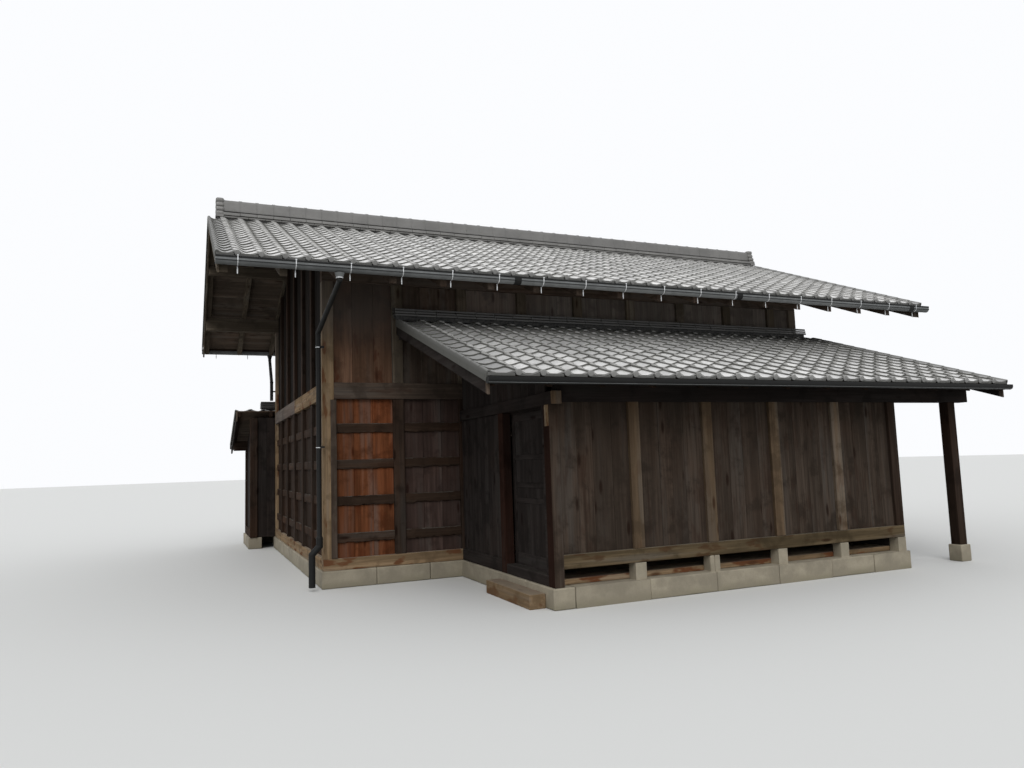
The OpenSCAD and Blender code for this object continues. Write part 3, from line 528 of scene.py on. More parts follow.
def ease(part, width, segments=1):
    """Takes the sharp arrises off a part."""
    sharp = [edge for edge in part.edges if edge.calc_face_angle(0) > 0.5]
    settings = {"profile": 0.5, "affect": "EDGES", "material": -1, "clamp_overlap": True}
    bmesh.ops.bevel(part, geom=sharp, offset=width, segments=segments, **settings)
    return part


def wear(part, draw, step, amount, ragged=0.0):
    """Splits long edges and pulls their points inwards a little; ragged lets the lower edge hang out."""
    low, high = extent(part)
    axis = long_axis(low, high)
    cuts = max(1, round((high[axis] - low[axis]) / step))
    long = [edge for edge in part.edges if abs(edge.verts[0].co[axis] - edge.verts[1].co[axis]) > step]
    bmesh.ops.subdivide_edges(part, edges=long, cuts=cuts, use_grid_fill=True)
    middle = (low + high) / 2
    for vert in part.verts:
        for i in range(3):
            if i != axis:
                pull = draw.random() * amount
                vert.co[i] += pull if vert.co[i] < middle[i] else -pull
        if vert.co.z < middle.z:
            vert.co.z -= draw.random() * ragged
    return part


def widths(draw, total, usual, spread=0.25):
    """Uneven widths that add up to a total, none far from the usual one."""
    count = max(1, round(total / usual))
    shares = [1 + draw.uniform(-spread, spread) for _ in range(count)]
    scale = total / sum(shares)
    return [share * scale for share in shares]


def bar(low, high, width=0.003):
    """A block from one corner to the other, its arrises eased by a width."""
    part = bmesh.new()
    bmesh.ops.create_cube(part, size=1)
    bmesh.ops.scale(part, vec=Vector(high) - Vector(low), verts=part.verts)
    moved(part, (Vector(low) + Vector(high)) / 2)
    return ease(part, width) if width else part


def prism(outline, start, end):
    """An outline in Y and Z drawn out along X."""
    part = bmesh.new()
    face = part.faces.new([part.verts.new((start, y, z)) for y, z in outline])
    grown = bmesh.ops.extrude_face_region(part, geom=[face])
    far = [item for item in grown["geom"] if isinstance(item, bmesh.types.BMVert)]
    bmesh.ops.translate(part, vec=(end - start, 0, 0), verts=far)
    bmesh.ops.recalc_face_normals(part, faces=part.faces)
    return part


def cone(foot, head, tall, sides=24):
    """A closed cone about the origin, by the radii of its foot and head."""
    part = bmesh.new()
    bmesh.ops.create_cone(part, cap_ends=True, segments=sides, radius1=foot, radius2=head, depth=tall)
    return part


def ball(radius, rings):
    """A ball about the origin."""
    part = bmesh.new()
    bmesh.ops.create_uvsphere(part, u_segments=20, v_segments=rings, radius=radius)
    return part


def rod(start, end, radius, sides=24):
    """A round rod from one point to another."""
    start = Vector(start)
    way = Vector(end) - start
    part = cone(radius, radius, way.length, sides)
    turn = way.to_track_quat("Z", "Y").to_matrix()
    bmesh.ops.rotate(part, cent=(0, 0, 0), matrix=turn, verts=part.verts)
    for face in part.faces:
        face.smooth = len(face.verts) == 4
    return moved(part, start + way / 2)


def soften(part, angle=0.7):
    """Smooth shading that stays sharp at edges over an angle."""
    for face in part.faces:
        face.smooth = True
    for line in part.edges:
        line.smooth = line.calc_face_angle(0) < angle
    return part


# Profiles of the pan tile and of both verge tiles, across and up, seen from the eave
PAN = (
    (-0.046, 0.0265), (-0.04, 0.0278), (-0.02, 0.0295), (0.0, 0.028), (0.018, 0.0235), (0.036, 0.0145),
    (0.056, 0.0025), (0.08, -0.010), (0.1, -0.016), (0.12, -0.0165), (0.145, -0.011), (0.175, -0.0015),
    (0.2, 0.008), (0.218, 0.0135), (0.24, 0.017),
)
LEFT_VERGE = (
    (0.0, -0.098), (0.0, -0.045), (0.0, -0.004), (0.005, 0.01), (0.018, 0.018), (0.034, 0.014),
    (0.055, 0.002), (0.09, -0.013), (0.125, -0.0165), (0.16, -0.008), (0.195, 0.007), (0.235, 0.0155),
    (0.265, 0.019),
)
RIGHT_VERGE = (
    (-0.046, 0.0265), (-0.04, 0.0278), (-0.018, 0.0295), (0.004, 0.0275), (0.02, 0.0235), (0.038, 0.0145),
    (0.058, 0.002), (0.12, -0.014), (0.2, -0.006), (0.25, 0.012), (0.27, 0.018), (0.283, 0.01),
    (0.288, -0.004), (0.288, -0.045), (0.288, -0.098),
)
# Working widths of the three profiles
PAN_WIDE = 0.265
LEFT_WIDE = 0.235
RIGHT_WIDE = RIGHT_VERGE[-1][0]
# A profile stretches only past its roll
ROLL_END = 0.06
# Under this height a verge tile's skirt hangs
SKIRT_TOP = -0.03
# Laps of a tile on the next course down
PAN_LAP = 0.055
VERGE_LAP = 0.03
TILE_THICK = 0.016
# Height of the profiles above the boarding, and reaches of the tiles past it at eave and verge
TILE_LIFT = 0.04
EAVE_OUT = 0.038
VERGE_OUT = 0.024
# Length of a tile's front edge, which is laid as its own row of faces
FRONT_EDGE = 0.012


def shade_and_grime(x, y, z, verge, front, rise):
    """How much painted shade a tile's point gets: by rise at the open side of its roll, by front at its
    front edge.

    The outer edge of a verge tile is darkened all over with painted shade and dirt, and most of all its
    skirt.
    """
    if verge is not None and abs(x - verge) < 0.05:
        return 1.0 if z < SKIRT_TOP else 0.92 if z < 0.008 else 0.6
    # Painted shade along the joint at the roll's open side, full on the lean-to, lighter on the main roof
    if x < -0.038:
        return max(0.8, rise) if x < -0.044 else rise
    # On the lean-to the crest beside the joint takes some painted shade too, dulling its reflection
    if x < -0.015 and rise == 1:
        return 0.5
    # Painted shade under the front edges, half as dark on the roll's crest
    on_crest = abs(x - 0.012) < 0.04 and verge != 0.0
    return front * (0.5 if on_crest else 1.0) if y < FRONT_EDGE / 2 else 0.0


def shell(profile, length, lean, verge, front, rise):
    """A thin curved tile: its profile across X, its front at Y = 0, its head up the slope.

    A verge tile butts at its outer edge, where its roll leans less and its skirt hangs level. Its points
    carry their painted shade and dirt as the share named edge.
    """
    part = bmesh.new()
    stations = len(profile) - 1
    bmesh.ops.create_grid(part, x_segments=stations, y_segments=2, size=0.5)
    edge = part.verts.layers.float.new("edge")
    rows = (0.0, FRONT_EDGE, length)
    for vert in part.verts:
        x, z = profile[round((vert.co.x + 0.5) * stations)]
        y = rows[round((vert.co.y + 0.5) * 2)]
        share = 1.0
        if verge is not None and abs(x - verge) < 0.045:
            y = min(y, length - VERGE_LAP)
            share = 0.0 if z < SKIRT_TOP else 0.35
        vert.co = (x, y, z - y * lean * share)
    bmesh.ops.recalc_face_normals(part, faces=part.faces)
    if sum(face.normal.z for face in part.faces) < 0:
        bmesh.ops.reverse_faces(part, faces=part.faces)
    bmesh.ops.solidify(part, geom=part.faces[:], thickness=TILE_THICK)
    bmesh.ops.recalc_face_normals(part, faces=part.faces)
    for vert in part.verts:
        vert[edge] = shade_and_grime(*vert.co, verge, front, rise)
    return soften(part)


def shaded(part, share):
    """Gives a whole part one share of painted shade, as the share named edge."""
    edge = part.verts.layers.float.new("edge")
    for vert in part.verts:
        vert[edge] = share
    return part


class Slope:
    """A roof slope read from its boarding: across the eave, up the slope and out of it."""

    def __init__(self, deck, back=False):
        low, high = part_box(deck)
        points = [vert.co for vert in NODES[deck].data.vertices]
        foot_y, head_y = (high.y, low.y) if back else (low.y, high.y)
        foot = max(p.z for p in points if abs(p.y - foot_y) < 1e-4)
        head = max(p.z for p in points if abs(p.y - head_y) < 1e-4)
        corner = Vector((high.x if back else low.x, foot_y, foot))
        rise = Vector((0, head_y - foot_y, head - foot))
        across = Vector((-1 if back else 1, 0, 0))
        self.run = rise.length
        self.wide = high.x - low.x
        rise.normalize()
        axes = Matrix((across, rise, across.cross(rise))).transposed()
        self.place = Matrix.Translation(corner) @ axes.to_4x4()


def tile_kinds(first_roll, step, right, course, rise):
    """Meshes of the left, pan and right tiles, each as laid at the eave, between and at the top."""
    tiles = (
        ("left", LEFT_VERGE, (first_roll + VERGE_OUT - 0.02) / LEFT_WIDE),
        ("pan", PAN, step / PAN_WIDE),
        ("right", RIGHT_VERGE, right / RIGHT_WIDE),
    )
    kinds = {}
    for name, profile, stretch in tiles:
        shape = [(x * stretch if x > ROLL_END else x, z) for x, z in profile]
        verge = {"left": 0.0, "pan": None, "right": shape[-1][0]}[name]
        lapped = course + (PAN_LAP if name == "pan" else VERGE_LAP)
        for place, length, front in (("between", lapped, 1.0), ("top", course, 1.0), ("eave", lapped, 0.6)):
            part = shell(shape, length, TILE_THICK / course, verge, front, rise)
            kinds[name, place] = as_mesh(part, name)
    return kinds


def eave_ends(gather, slope, rolls, look):
    """Rounded ends of the rolls and aprons under the pans, along the eave."""
    front = TILE_LIFT + 0.004
    upright = Matrix.Rotation(math.radians(90), 3, "X")
    for x in rolls:
        knob = ease(cone(0.032, 0.035, 0.018, 16), 0.004)
        bmesh.ops.rotate(knob, cent=(0, 0, 0), matrix=upright, verts=knob.verts)
        place = slope.place @ Matrix.Translation((x + 0.004, -EAVE_OUT + 0.003, front - 0.006))
        bmesh.ops.transform(knob, matrix=place, verts=knob.verts)
        # The knobs take some painted shade
        gather.add(shaded(knob, 0.6), look, 0.2)
    for start, end in zip([-VERGE_OUT] + rolls, rolls + [slope.wide + VERGE_OUT]):
        low = (start + 0.012, -EAVE_OUT - 0.001, front - 0.046)
        apron = bar(low, (end - 0.03, -EAVE_OUT + 0.012, front - 0.014))
        bmesh.ops.transform(apron, matrix=slope.place, verts=apron.verts)
        # The aprons under the pans take more painted shade
        gather.add(shaded(apron, 0.85), look, 0.3)


def tiled(gather, slope, sizes, first_roll, trim, eave_shade, look):
    """Courses of pan tiles from the eave up, with verge tiles at both ends and rounded eave tiles.

    Trim keeps the top course clear of the wall, and eave_shade darkens the upper courses with painted shade.
    """
    gather.looks.append(look)
    draw = gather.draw
    run = slope.run + EAVE_OUT - trim
    count = round(run / sizes.course)
    course = run / count
    columns = round((slope.wide - first_roll) / sizes.tile_w)
    step = (slope.wide - first_roll) / columns
    rolls = [first_roll + i * step for i in range(columns)]
    spots = [("left", -VERGE_OUT)] + [("pan", x) for x in rolls[:-1]] + [("right", rolls[-1])]
    # The joints beside the rolls take full painted shade on the lean-to slopes, less on the main ones
    kinds = tile_kinds(first_roll, step, slope.wide + VERGE_OUT - rolls[-1], course, 1.0 if eave_shade else 0.3)
    for row in range(count):
        place = "top" if row == count - 1 else "between" if row else "eave"
        for name, x in spots:
            loose = name == "pan"
            sway = draw.uniform(-0.0015, 0.0015) if loose else 0
            slip = draw.uniform(-0.004, 0.004) if row and loose else 0
            lift = draw.uniform(-0.001, 0.0015) if loose else 0
            spot = Matrix.Translation((x + sway, row * course - EAVE_OUT + slip, TILE_LIFT + lift))
            turn = Matrix.Rotation(draw.uniform(-0.006, 0.006) if loose else 0, 4, "Z")
            roll = Matrix.Rotation(draw.uniform(-0.012, 0.012) if loose else 0, 4, "Y")
            dull = draw.random() ** 1.6 * 0.36 if loose else draw.uniform(0.9, 1.0)
            whole = slope.place @ spot @ turn @ roll
            mesh = kinds[name, place]
            mesh.transform(whole)
            # Tone: dull at random, and darker towards the top courses with painted shade
            gather.stamp(mesh, min(1.0, dull + eave_shade * (row / count) ** 2.4))
            mesh.transform(whole.inverted())
    for mesh in kinds.values():
        bpy.data.meshes.remove(mesh)
    eave_ends(gather, slope, rolls, look)


# Walls that are boarded and the usual width of their boards
BOARDED = {
    "front_panels": 0.24, "front_upper_wall": 0.3, "left_wall": 0.2, "right_wall": 0.2, "gable_walls": 0.2,
    "back_upper_wall": 0.26, "lean_to_walls": 0.225, "rear_walls": 0.22,
}


def board_kind(name, low, high):
    """The timber colour of a wall board, by its node and its place on the house."""
    at = (low + high) / 2 - HOME
    if name == "front_panels":
        # The second bay is umber, the red boards with painted shade
        return "red" if at.x < 1 else "umber"
    if name in ("front_upper_wall", "back_upper_wall"):
        # Boards under the lean-to's verge are brown, painted shade; the rest under the eaves are smoke,
        # lightened with painted light
        return "upper" if at.x < 0.95 else "brown" if at.x < 1.9 and at.y < 1 else "smoke"
    if name == "lean_to_walls":
        # The lean-to's side walls are shade timber, painted shade
        return "worn" if at.y < LEAN_TO[0].y - HOME.y + 0.1 else "shade"
    # Gable boards are near-black painted deep shade
    return {"gable_walls": "night", "left_wall": "dark"}.get(name, "shade")


class HOUSE_OT_boards(bpy.types.Operator):
    """Splits the wall panels into boards of uneven width"""

    bl_idname = "house.boards"
    bl_label = "Wall boards"

    def execute(self, context):
        for number, (name, usual) in enumerate(BOARDED.items()):
            gather = Gather(number)
            draw = gather.draw
            gap = 0.002 if name == "front_panels" else 0.001
            spread = 0.08 if "front" in name else 0.25
            for panel in solids(name):
                low, high = extent(panel)
                axis = level_axis(low, high)
                for board in split(panel, axis, gap, widths(draw, high[axis] - low[axis], usual, spread)):
                    moved(ease(board, 0.0015), along(1 - axis, draw.uniform(-0.002, 0.002)))
                    gather.add(board, wood(board_kind(name, *extent(board)), 2))
            gather.keep(name + "_boards", "red_wood" if name == "front_panels" else "dark_wood", [name])
        return {"FINISHED"}


class HOUSE_OT_sheathing(bpy.types.Operator):
    """Lays the roof boarding, which shows from below between the rafters"""

    bl_idname = "house.sheathing"
    bl_label = "Roof boarding"

    def execute(self, context):
        look = wood("deck", 0)
        for number, name in enumerate(("roof_deck_front", "roof_deck_back", "lean_to_deck", "rear_deck")):
            gather = Gather(20 + number)
            draw = gather.draw
            for sheet in solids(name):
                low, high = extent(sheet)
                for row in split(sheet, 1, 0.0015, widths(draw, high.y - low.y, 0.165, 0.3)):
                    for start, end in in_turn(low.x, widths(draw, high.x - low.x, 2.6, 0.45)):
                        near = start + (0.001 if start > low.x else 0)
                        board = cut_between(row, 0, near, min(end - 0.001, high.x))
                        gather.add(ease(moved(board, along(2, -draw.uniform(0, 0.002))), 0.002), look)
                    row.free()
            gather.keep(name + "_boards", "dark_wood", [name])
        return {"FINISHED"}


# Framing nodes and the timber colour that most of each has
FRAMED = {
    "main_sills": "tan", "corner_posts": "tan", "wall_posts": "dark", "mid_beams": "brown",
    "eave_plates": "eave", "purlins": "eave", "rafters_front": "eave", "rafters_back": "eave",
    "bargeboards": "eave", "lean_to_posts": "post", "lean_to_sills": "moss", "lean_to_plates": "shade",
    "lean_to_rafters": "dark", "lean_to_bargeboards": "shade", "door_frame": "jamb", "door_step": "tan",
    "rear_frame": "dark", "rear_rafters": "dark", "main_floor": "tan", "lean_to_floor": "tan",
}


# A timber whose middle is nearer than this to the left or the front face stands in it
IN_FACE = 0.3
# Height from which the front posts are paler, and depth from which the side beams are smoky
PALE_FROM = 2.5
SMOKY_FROM = 2.75
# Lengths of the paler ends of the lean-to's plates and bargeboards
PLATE_END = 0.045
BOARD_END = 0.05


def stretches(name, low, high):
    """A timber's stretches of one colour: the axis they follow, and the end and colour of each."""
    at = (low + high) / 2 - HOME
    kind = FRAMED[name]
    if name == "wall_posts" and at.x >= IN_FACE > at.y:
        return (2, PALE_FROM, "dark"), (2, high.z, "eave")
    if name == "mid_beams" and at.x < IN_FACE and high.y - low.y > 1:
        return (1, HOME.y + SMOKY_FROM, "tan"), (1, high.y, "smoke")
    # Past their paler ends the lean-to's plates and bargeboards are shade timber: painted shade under the
    # main eave
    if name == "lean_to_plates" and low.y < LEAN_TO[0].y - 0.1:
        return (1, low.y + PLATE_END, "post"), (1, high.y, "shade")
    if name == "lean_to_bargeboards":
        return (1, low.y + BOARD_END, "deck"), (1, high.y, "shade")
    if name == "lean_to_posts" and abs(low.x - LEAN_TO[0].x) < 0.1:
        kind = "jamb"
    elif name == "lean_to_posts" and at.x > 7:
        kind = "dark"
    elif name in ("rafters_front", "eave_plates") and at.x > 0 and at.y < 3:
        kind = "brown"
    # Side sills and the threshold are shade timber: painted shade
    elif name in ("lean_to_sills", "door_frame") and high.y - low.y > max(high.x - low.x, high.z - low.z):
        kind = "shade"
    return ((0, high.x, kind),)


def lengths_of(name, part):
    """Cuts a timber where its colour changes: pairs of a closed length and its colour."""
    low, high = extent(part)
    parts = stretches(name, low, high)
    if len(parts) == 1:
        return [(part, parts[0][2])]
    found = []
    start = low[parts[0][0]]
    for axis, end, kind in parts:
        if min(end, high[axis]) - start > 0.01:
            found.append((cut_between(part, axis, start, min(end, high[axis])), kind))
            start = end
    return found


def wall_rails():
    """Rails between the posts, worn, with ragged lower edges."""
    gather = Gather(70)
    for part in solids("wall_rails"):
        axis = level_axis(*extent(part))
        wear(ease(part, 0.006), gather.draw, 0.06, 0.007, 0.022)
        gather.add(part, wood("rail", axis))
    gather.keep("wall_rails_dressed", "red_wood", ["wall_rails"])


def corner_strips():
    """Thin boards nailed to the corner posts, and the board that closes the eave over the back gutter."""
    gather = Gather(71)
    face = HOME.y - 0.001
    strip = bar((HOME.x + 0.1, face - 0.012, 0.38), (HOME.x + 0.18, face, 2.46))
    gather.add(wear(strip, gather.draw, 0.2, 0.003), wood("brown", 2), 0.8)
    x, y, _ = LEAN_TO[0]
    patch = bar((x - 0.038, y - 0.038, 1.93), (x - 0.034, y + 0.06, 2.16), 0.001)
    gather.add(patch, wood("tan", 2), 0.1)
    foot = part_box("lean_to_posts")[0].z + 0.002
    cover = bar((x - 0.032, y - 0.043, foot), (x + 0.082, y - 0.0402, 2.2), 0.001)
    gather.add(cover, wood("worn", 2), 0.2)
    low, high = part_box("roof_deck_back")
    rims = [top.z for foot, top in map(extent, solids("gutters")) if foot.y > 0 and top.z > 3]
    edge = (low.x + 0.05, high.y - 0.02, rims[0] - 0.02)
    fillet = bar(edge, (high.x - 0.05, high.y - 0.002, low.z + 0.004), 0.001)
    gather.add(fillet, wood("dark", 0), 0.5)
    gather.keep("corner_strips", "post_wood")


class HOUSE_OT_timbers(bpy.types.Operator):
    """Eases the arrises of posts, beams, rafters and sills, wears the rails and adds the corner strips"""

    bl_idname = "house.timbers"
    bl_label = "Timbers"

    def execute(self, context):
        for number, (name, kind) in enumerate(FRAMED.items()):
            gather = Gather(40 + number)
            for whole in solids(name):
                for part, own in lengths_of(name, whole):
                    axis = long_axis(*extent(part))
                    gather.add(ease(part, 0.005), wood(own, axis))
            slot = {"tan": "sill_wood", "eave": "post_wood"}.get(kind, "dark_wood")
            gather.keep(name + "_dressed", slot, [name])
        wall_rails()
        corner_strips()
        return {"FINISHED"}


class HOUSE_OT_stones(bpy.types.Operator):
    """Splits the base into cut stones with worn edges"""

    bl_idname = "house.stones"
    bl_label = "Base stones"

    def execute(self, context):
        gather = Gather(80)
        look = cut_stone("base stone", colours().stone)
        for part in solids("foundation"):
            low, high = extent(part)
            axis = level_axis(low, high)
            for stone in split(part, axis, 0.002, widths(gather.draw, high[axis] - low[axis], 0.85)):
                gather.add(wear(ease(stone, 0.012, 2), gather.draw, 0.16, 0.004), look)
        gather.keep("base_stones", "stone", ["foundation"])
        return {"FINISHED"}


class HOUSE_OT_tiles(bpy.types.Operator):
    """Lays the pan tiles of the four slopes"""

    bl_idname = "house.tiles"
    bl_label = "Roof tiles"

    def execute(self, context):
        look = clay_tile("roof tile", colours().tile, 0.65)
        main = {"first_roll": 0.215, "trim": 0.0, "eave_shade": 0.0}
        # The lean-to slopes' upper courses darken with painted shade under the main eaves
        low = {"first_roll": 0.311, "trim": 0.03, "eave_shade": 1.2}
        layers = (
            ("roof_tiles_front", Slope("roof_deck_front"), main),
            ("roof_tiles_back", Slope("roof_deck_back", True), main),
            ("lean_to_tiles", Slope("lean_to_deck"), low),
            ("rear_tiles", Slope("rear_deck", True), low),
        )
        for number, (name, slope, laying) in enumerate(layers):
            gather = Gather(100 + number)
            tiled(gather, slope, context.scene.house_sizes, look=look, **laying)
            gather.keep(name + "_laid", "roof_tile", [name])
        return {"FINISHED"}


def slab(draw, start, end, y0, y1, z_out, z_in, thick):
    """One flat ridge or flashing tile from start to end along X, from its outer edge y0 to y1."""
    out = z_out + draw.uniform(-0.0015, 0.0015)
    outline = [(y0, out), (y0, out + thick), (y1, z_in + thick), (y1, z_in)]
    return ease(prism(outline, start + 0.0015, end - 0.0015), 0.004)


# Half of the ridge cap's section, outwards and up from its foot, ending at the middle of its top
CAP = (
    (-0.104, 0.0), (-0.104, 0.022), (-0.098, 0.028), (-0.09, 0.15), (-0.076, 0.184), (-0.045, 0.204),
    (0.0, 0.211),
)
# The ridge's two flat courses: half width, height over the mortar's top, and thickness
FLAT_COURSES = ((0.15, 0.0, 0.028), (0.17, 0.033, 0.046))
# From the ridge's top down to the mortar's top and to the foot of the caps, and the length of a cap
MORTAR_DROP = 0.335
CAP_DROP = 0.222
CAP_LONG = 0.268
# Courses of flashing: from their top down to the lowest, and the rise and step back of each
FLASHING_DROP = 0.118
FLASHING_RISE = 0.038
FLASHING_STEP = 0.009


def ridge_courses(gather, look, bed):
    """The flat courses and the cap tiles of the ridge."""
    draw = gather.draw
    low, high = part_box("ridge")
    y = (low.y + high.y) / 2
    x0 = low.x - 0.02
    x1 = high.x + 0.02
    foot = high.z - MORTAR_DROP
    core = [(y - 0.12, foot - 0.075), (y - 0.12, foot), (y + 0.12, foot), (y + 0.12, foot - 0.075)]
    gather.add(prism(core, x0, x1), bed, 0.5)
    count = round((x1 - x0) / CAP_LONG)
    step = (x1 - x0) / count
    for level, (half, rise, thick) in enumerate(FLAT_COURSES):
        z = foot + rise
        shift = 0 if level else step / 2
        spots = [x0] + [x0 + shift + i * step for i in range(1 - level, count)] + [x1]
        for start, end in zip(spots, spots[1:]):
            for side in (-1, 1):
                if end - start > 0.02:
                    part = slab(draw, start, end, side * half, side * 0.012, z - 0.003, z + 0.004, thick)
                    tone = 0.2 * draw.random() + (0.0 if level else 0.3)
                    gather.add(moved(part, along(1, y)), look, tone)
    cap = list(CAP) + [(-side, z) for side, z in CAP[-2::-1]]
    top = high.z - CAP_DROP
    for i in range(count):
        start = x0 + i * step
        sink = draw.uniform(-0.001, 0.001)
        body = prism([(y + side, top + z + sink) for side, z in cap], start + 0.0005, start + step)
        gather.add(ease(body, 0.002), look, 0.25 + 0.15 * draw.random())
        collar = prism([(y + side * 1.025, top + z * 1.01) for side, z in cap], start, start + 0.014)
        gather.add(ease(collar, 0.002), look, 0.3)
        knob = bar((start - 0.02, y - 0.022, high.z - 0.02), (start + 0.04, y + 0.022, high.z - 0.0005), 0)
        gather.add(ease(knob, 0.008, 2), look, 0.45)
    gather.keep("ridge_courses", "roof_tile", ["ridge"])


def end_tile(low, high):
    """A ridge-end tile: four swelling bands, narrower towards the top, under a rounded head."""
    tall = (high.z - low.z) / 4.6
    middle = (low + high) / 2
    wide = (high.y - low.y) / 2
    for i, share in enumerate((1.0, 0.84, 0.7, 0.62)):
        z = low.z + 0.03 + i * tall
        side = wide * share
        yield ease(bar((low.x, middle.y - side, z), (high.x, middle.y + side, z + tall), 0), 0.032, 3)
    side = wide * 0.55
    neck = (low.x + 0.022, middle.y - side, low.z + 0.045)
    yield bar(neck, (high.x - 0.022, middle.y + side, high.z - 0.05))
    head = ball(1, 12)
    bmesh.ops.scale(head, vec=((high.x - low.x) / 2 * 0.86, wide * 0.56, 0.06), verts=head.verts)
    yield soften(moved(head, (middle.x, middle.y, high.z - 0.062)), math.pi)
    left = middle.y - wide
    right = middle.y + wide
    z = low.z + 0.05
    foot = [(left, low.z), (middle.y, low.z + 0.075), (right, low.z), (right, z), (left, z)]
    yield ease(prism(foot, low.x + 0.006, high.x - 0.006), 0.006)


def ridge_ends(gather, look):
    """The stepped tiles that close both ends of the ridge."""
    for part in solids("ridge_end_tiles"):
        for piece in end_tile(*extent(part)):
            gather.add(piece, look, 0.3 * gather.draw.random())
    gather.keep("ridge_ends_dressed", "roof_tile", ["ridge_end_tiles"])


def flashing_courses(gather, look, bed):
    """Three flat courses where a lean-to roof meets its wall."""
    draw = gather.draw
    for part in solids("flashings"):
        low, high = extent(part)
        wall, side = (low.y, 1) if low.y > 0 else (high.y, -1)
        reach = high.y - low.y
        z0 = high.z - FLASHING_DROP
        under = wall + side * reach * 0.82
        core = [(wall, z0 + 0.01), (wall, z0 - 0.02), (under, z0 - 0.085), (under, z0 - 0.012)]
        gather.add(prism(core, low.x + 0.02, high.x - 0.02), bed, 0.5)
        for level in range(3):
            edge = wall + side * (reach - level * FLASHING_STEP)
            z = z0 + level * FLASHING_RISE
            for start, end in in_turn(low.x, widths(draw, high.x - low.x, 0.29, 0.04)):
                course = slab(draw, start, end, edge, wall, z - 0.03, z + 0.008, 0.03)
                gather.add(course, look, 0.3 + 0.45 * draw.random())
    gather.keep("flashing_courses", "roof_tile", ["flashings"])


class HOUSE_OT_ridge(bpy.types.Operator):
    """Sets the ridge courses, its cap tiles and end tiles, and the flashing courses of the lean-tos"""

    bl_idname = "house.ridge"
    bl_label = "Ridge and flashings"

    def execute(self, context):
        colour = colours().ridge
        look = clay_tile("ridge tile", colour, 0.35)
        bed = mortar("mortar")
        ridge_courses(Gather(110), look, bed)
        ridge_ends(Gather(111), look)
        # The flashing tile is the ridge clay at half strength with less sheen: painted shade under the eave
        flashing_courses(Gather(112), clay_tile("flashing tile", rgba(colour, 0.5)[:3], 0.2), bed)
        return {"FINISHED"}


# Distance from hanger to hanger
HANGER_STEP = 0.645
# The downpipe's middle, and its foot, where it steps out over the stone base and runs down clear of it
PIPE_AT = (-0.062, -0.072)
PIPE_FOOT_AT = (-0.162, -0.097)


def gutter_shape(low, high):
    """A gutter's middle, the side that faces out, its radius and the middle height of its round bottom."""
    y = (low.y + high.y) / 2
    radius = (high.y - low.y) / 2
    return y, -1 if y < 0 else 1, radius, low.z + radius


def hoops(y, z, top, near, far, angles):
    """An outline in Y and Z between two rings round a gutter's bottom, their ends raised to a top.

    The angles are in degrees from straight down.
    """
    turns = [math.radians(angle) for angle in angles]
    rings = []
    for reach in (near, far):
        ring = [(y + reach * math.sin(turn), z - reach * math.cos(turn)) for turn in turns]
        rings.append([(ring[0][0], top)] + ring)
    return rings


def rims(low, high):
    """The rolled rims of a gutter."""
    y, _, radius, _ = gutter_shape(low, high)
    for edge in (y - radius + 0.007, y + radius - 0.007):
        yield rod((low.x, edge, high.z - 0.002), (high.x, edge, high.z - 0.002), 0.007, 8)


def bead(low, high):
    """The bead along a lean-to gutter's outer face."""
    y, front, radius, z = gutter_shape(low, high)
    drop = radius * 0.74
    y += front * drop
    return bar((low.x, y - 0.003, z - drop - 0.003), (high.x, y + 0.003, z - drop + 0.003))


def main_trims(low, high):
    """The joint sleeves of a main gutter, half rings under straight sides, and its two folded edges."""
    y, front, radius, z = gutter_shape(low, high)
    top = high.z - 0.001
    half_turn = [-90 + 180 * i / 14 for i in range(15)]
    for share in (0.32, 0.64, 0.96):
        x = low.x + share * (high.x - low.x)
        inner, outer = hoops(y, z - 0.001, top, radius + 0.0004, radius + 0.0029, half_turn)
        inner.append((inner[-1][0], top))
        outer.append((outer[-1][0], top))
        yield prism(inner + outer[::-1], x, x + 0.1)
    near, far = sorted((y + front * (radius + 0.0002), y + front * (radius + 0.005)))
    for foot, tall in ((high.z - 0.022, 0.02), (z - 0.02, 0.008)):
        yield bar((low.x, near, foot), (high.x, far, foot + tall), 0.001)


def hangers_of(low, high):
    """Bright straps over a main gutter's outer face, each with a clip on the rim and a tab behind."""
    y, front, radius, z = gutter_shape(low, high)
    radius += 0.007
    wide = 0.011
    clip = y + front * radius
    tab = y - front * 0.03
    foot = z - radius
    top = high.z
    quarter = [front * (90 - i * 11) for i in range(9)]
    inner, outer = hoops(y, z, top + 0.006, radius, radius - 0.003, quarter)
    first = home(0.8, 0, 0).x - 3 * HANGER_STEP if front < 0 else low.x + 0.28
    for i in range(int((high.x - 0.1 - first) / HANGER_STEP) + 1):
        x = first + i * HANGER_STEP
        end = x + wide
        yield prism(inner + outer[::-1], x, end)
        yield bar((x - 0.004, clip - 0.009, top - 0.004), (end + 0.004, clip + 0.005, top + 0.012))
        yield bar((x, tab - 0.002, foot - 0.085), (end, tab + 0.002, foot + 0.004), 0.001)
        yield bar((x - 0.002, tab - 0.004, foot - 0.062), (end + 0.002, tab + 0.004, foot - 0.028))


def pipe_foot():
    """The stouter lengths and bends of the front downpipe's foot."""
    places = ((PIPE_AT, 0.66), (PIPE_AT, 0.56), (PIPE_FOOT_AT, 0.46), (PIPE_FOOT_AT, 0.05))
    bends = [home(*at, z) for at, z in places]
    for start, end in zip(bends, bends[1:]):
        yield rod(start, end, 0.043, 20)
        yield soften(moved(ball(0.044, 10), start))


def band(foot, tall, radius):
    """A bright band round a pipe."""
    return soften(rod(foot, foot + along(2, tall), radius))


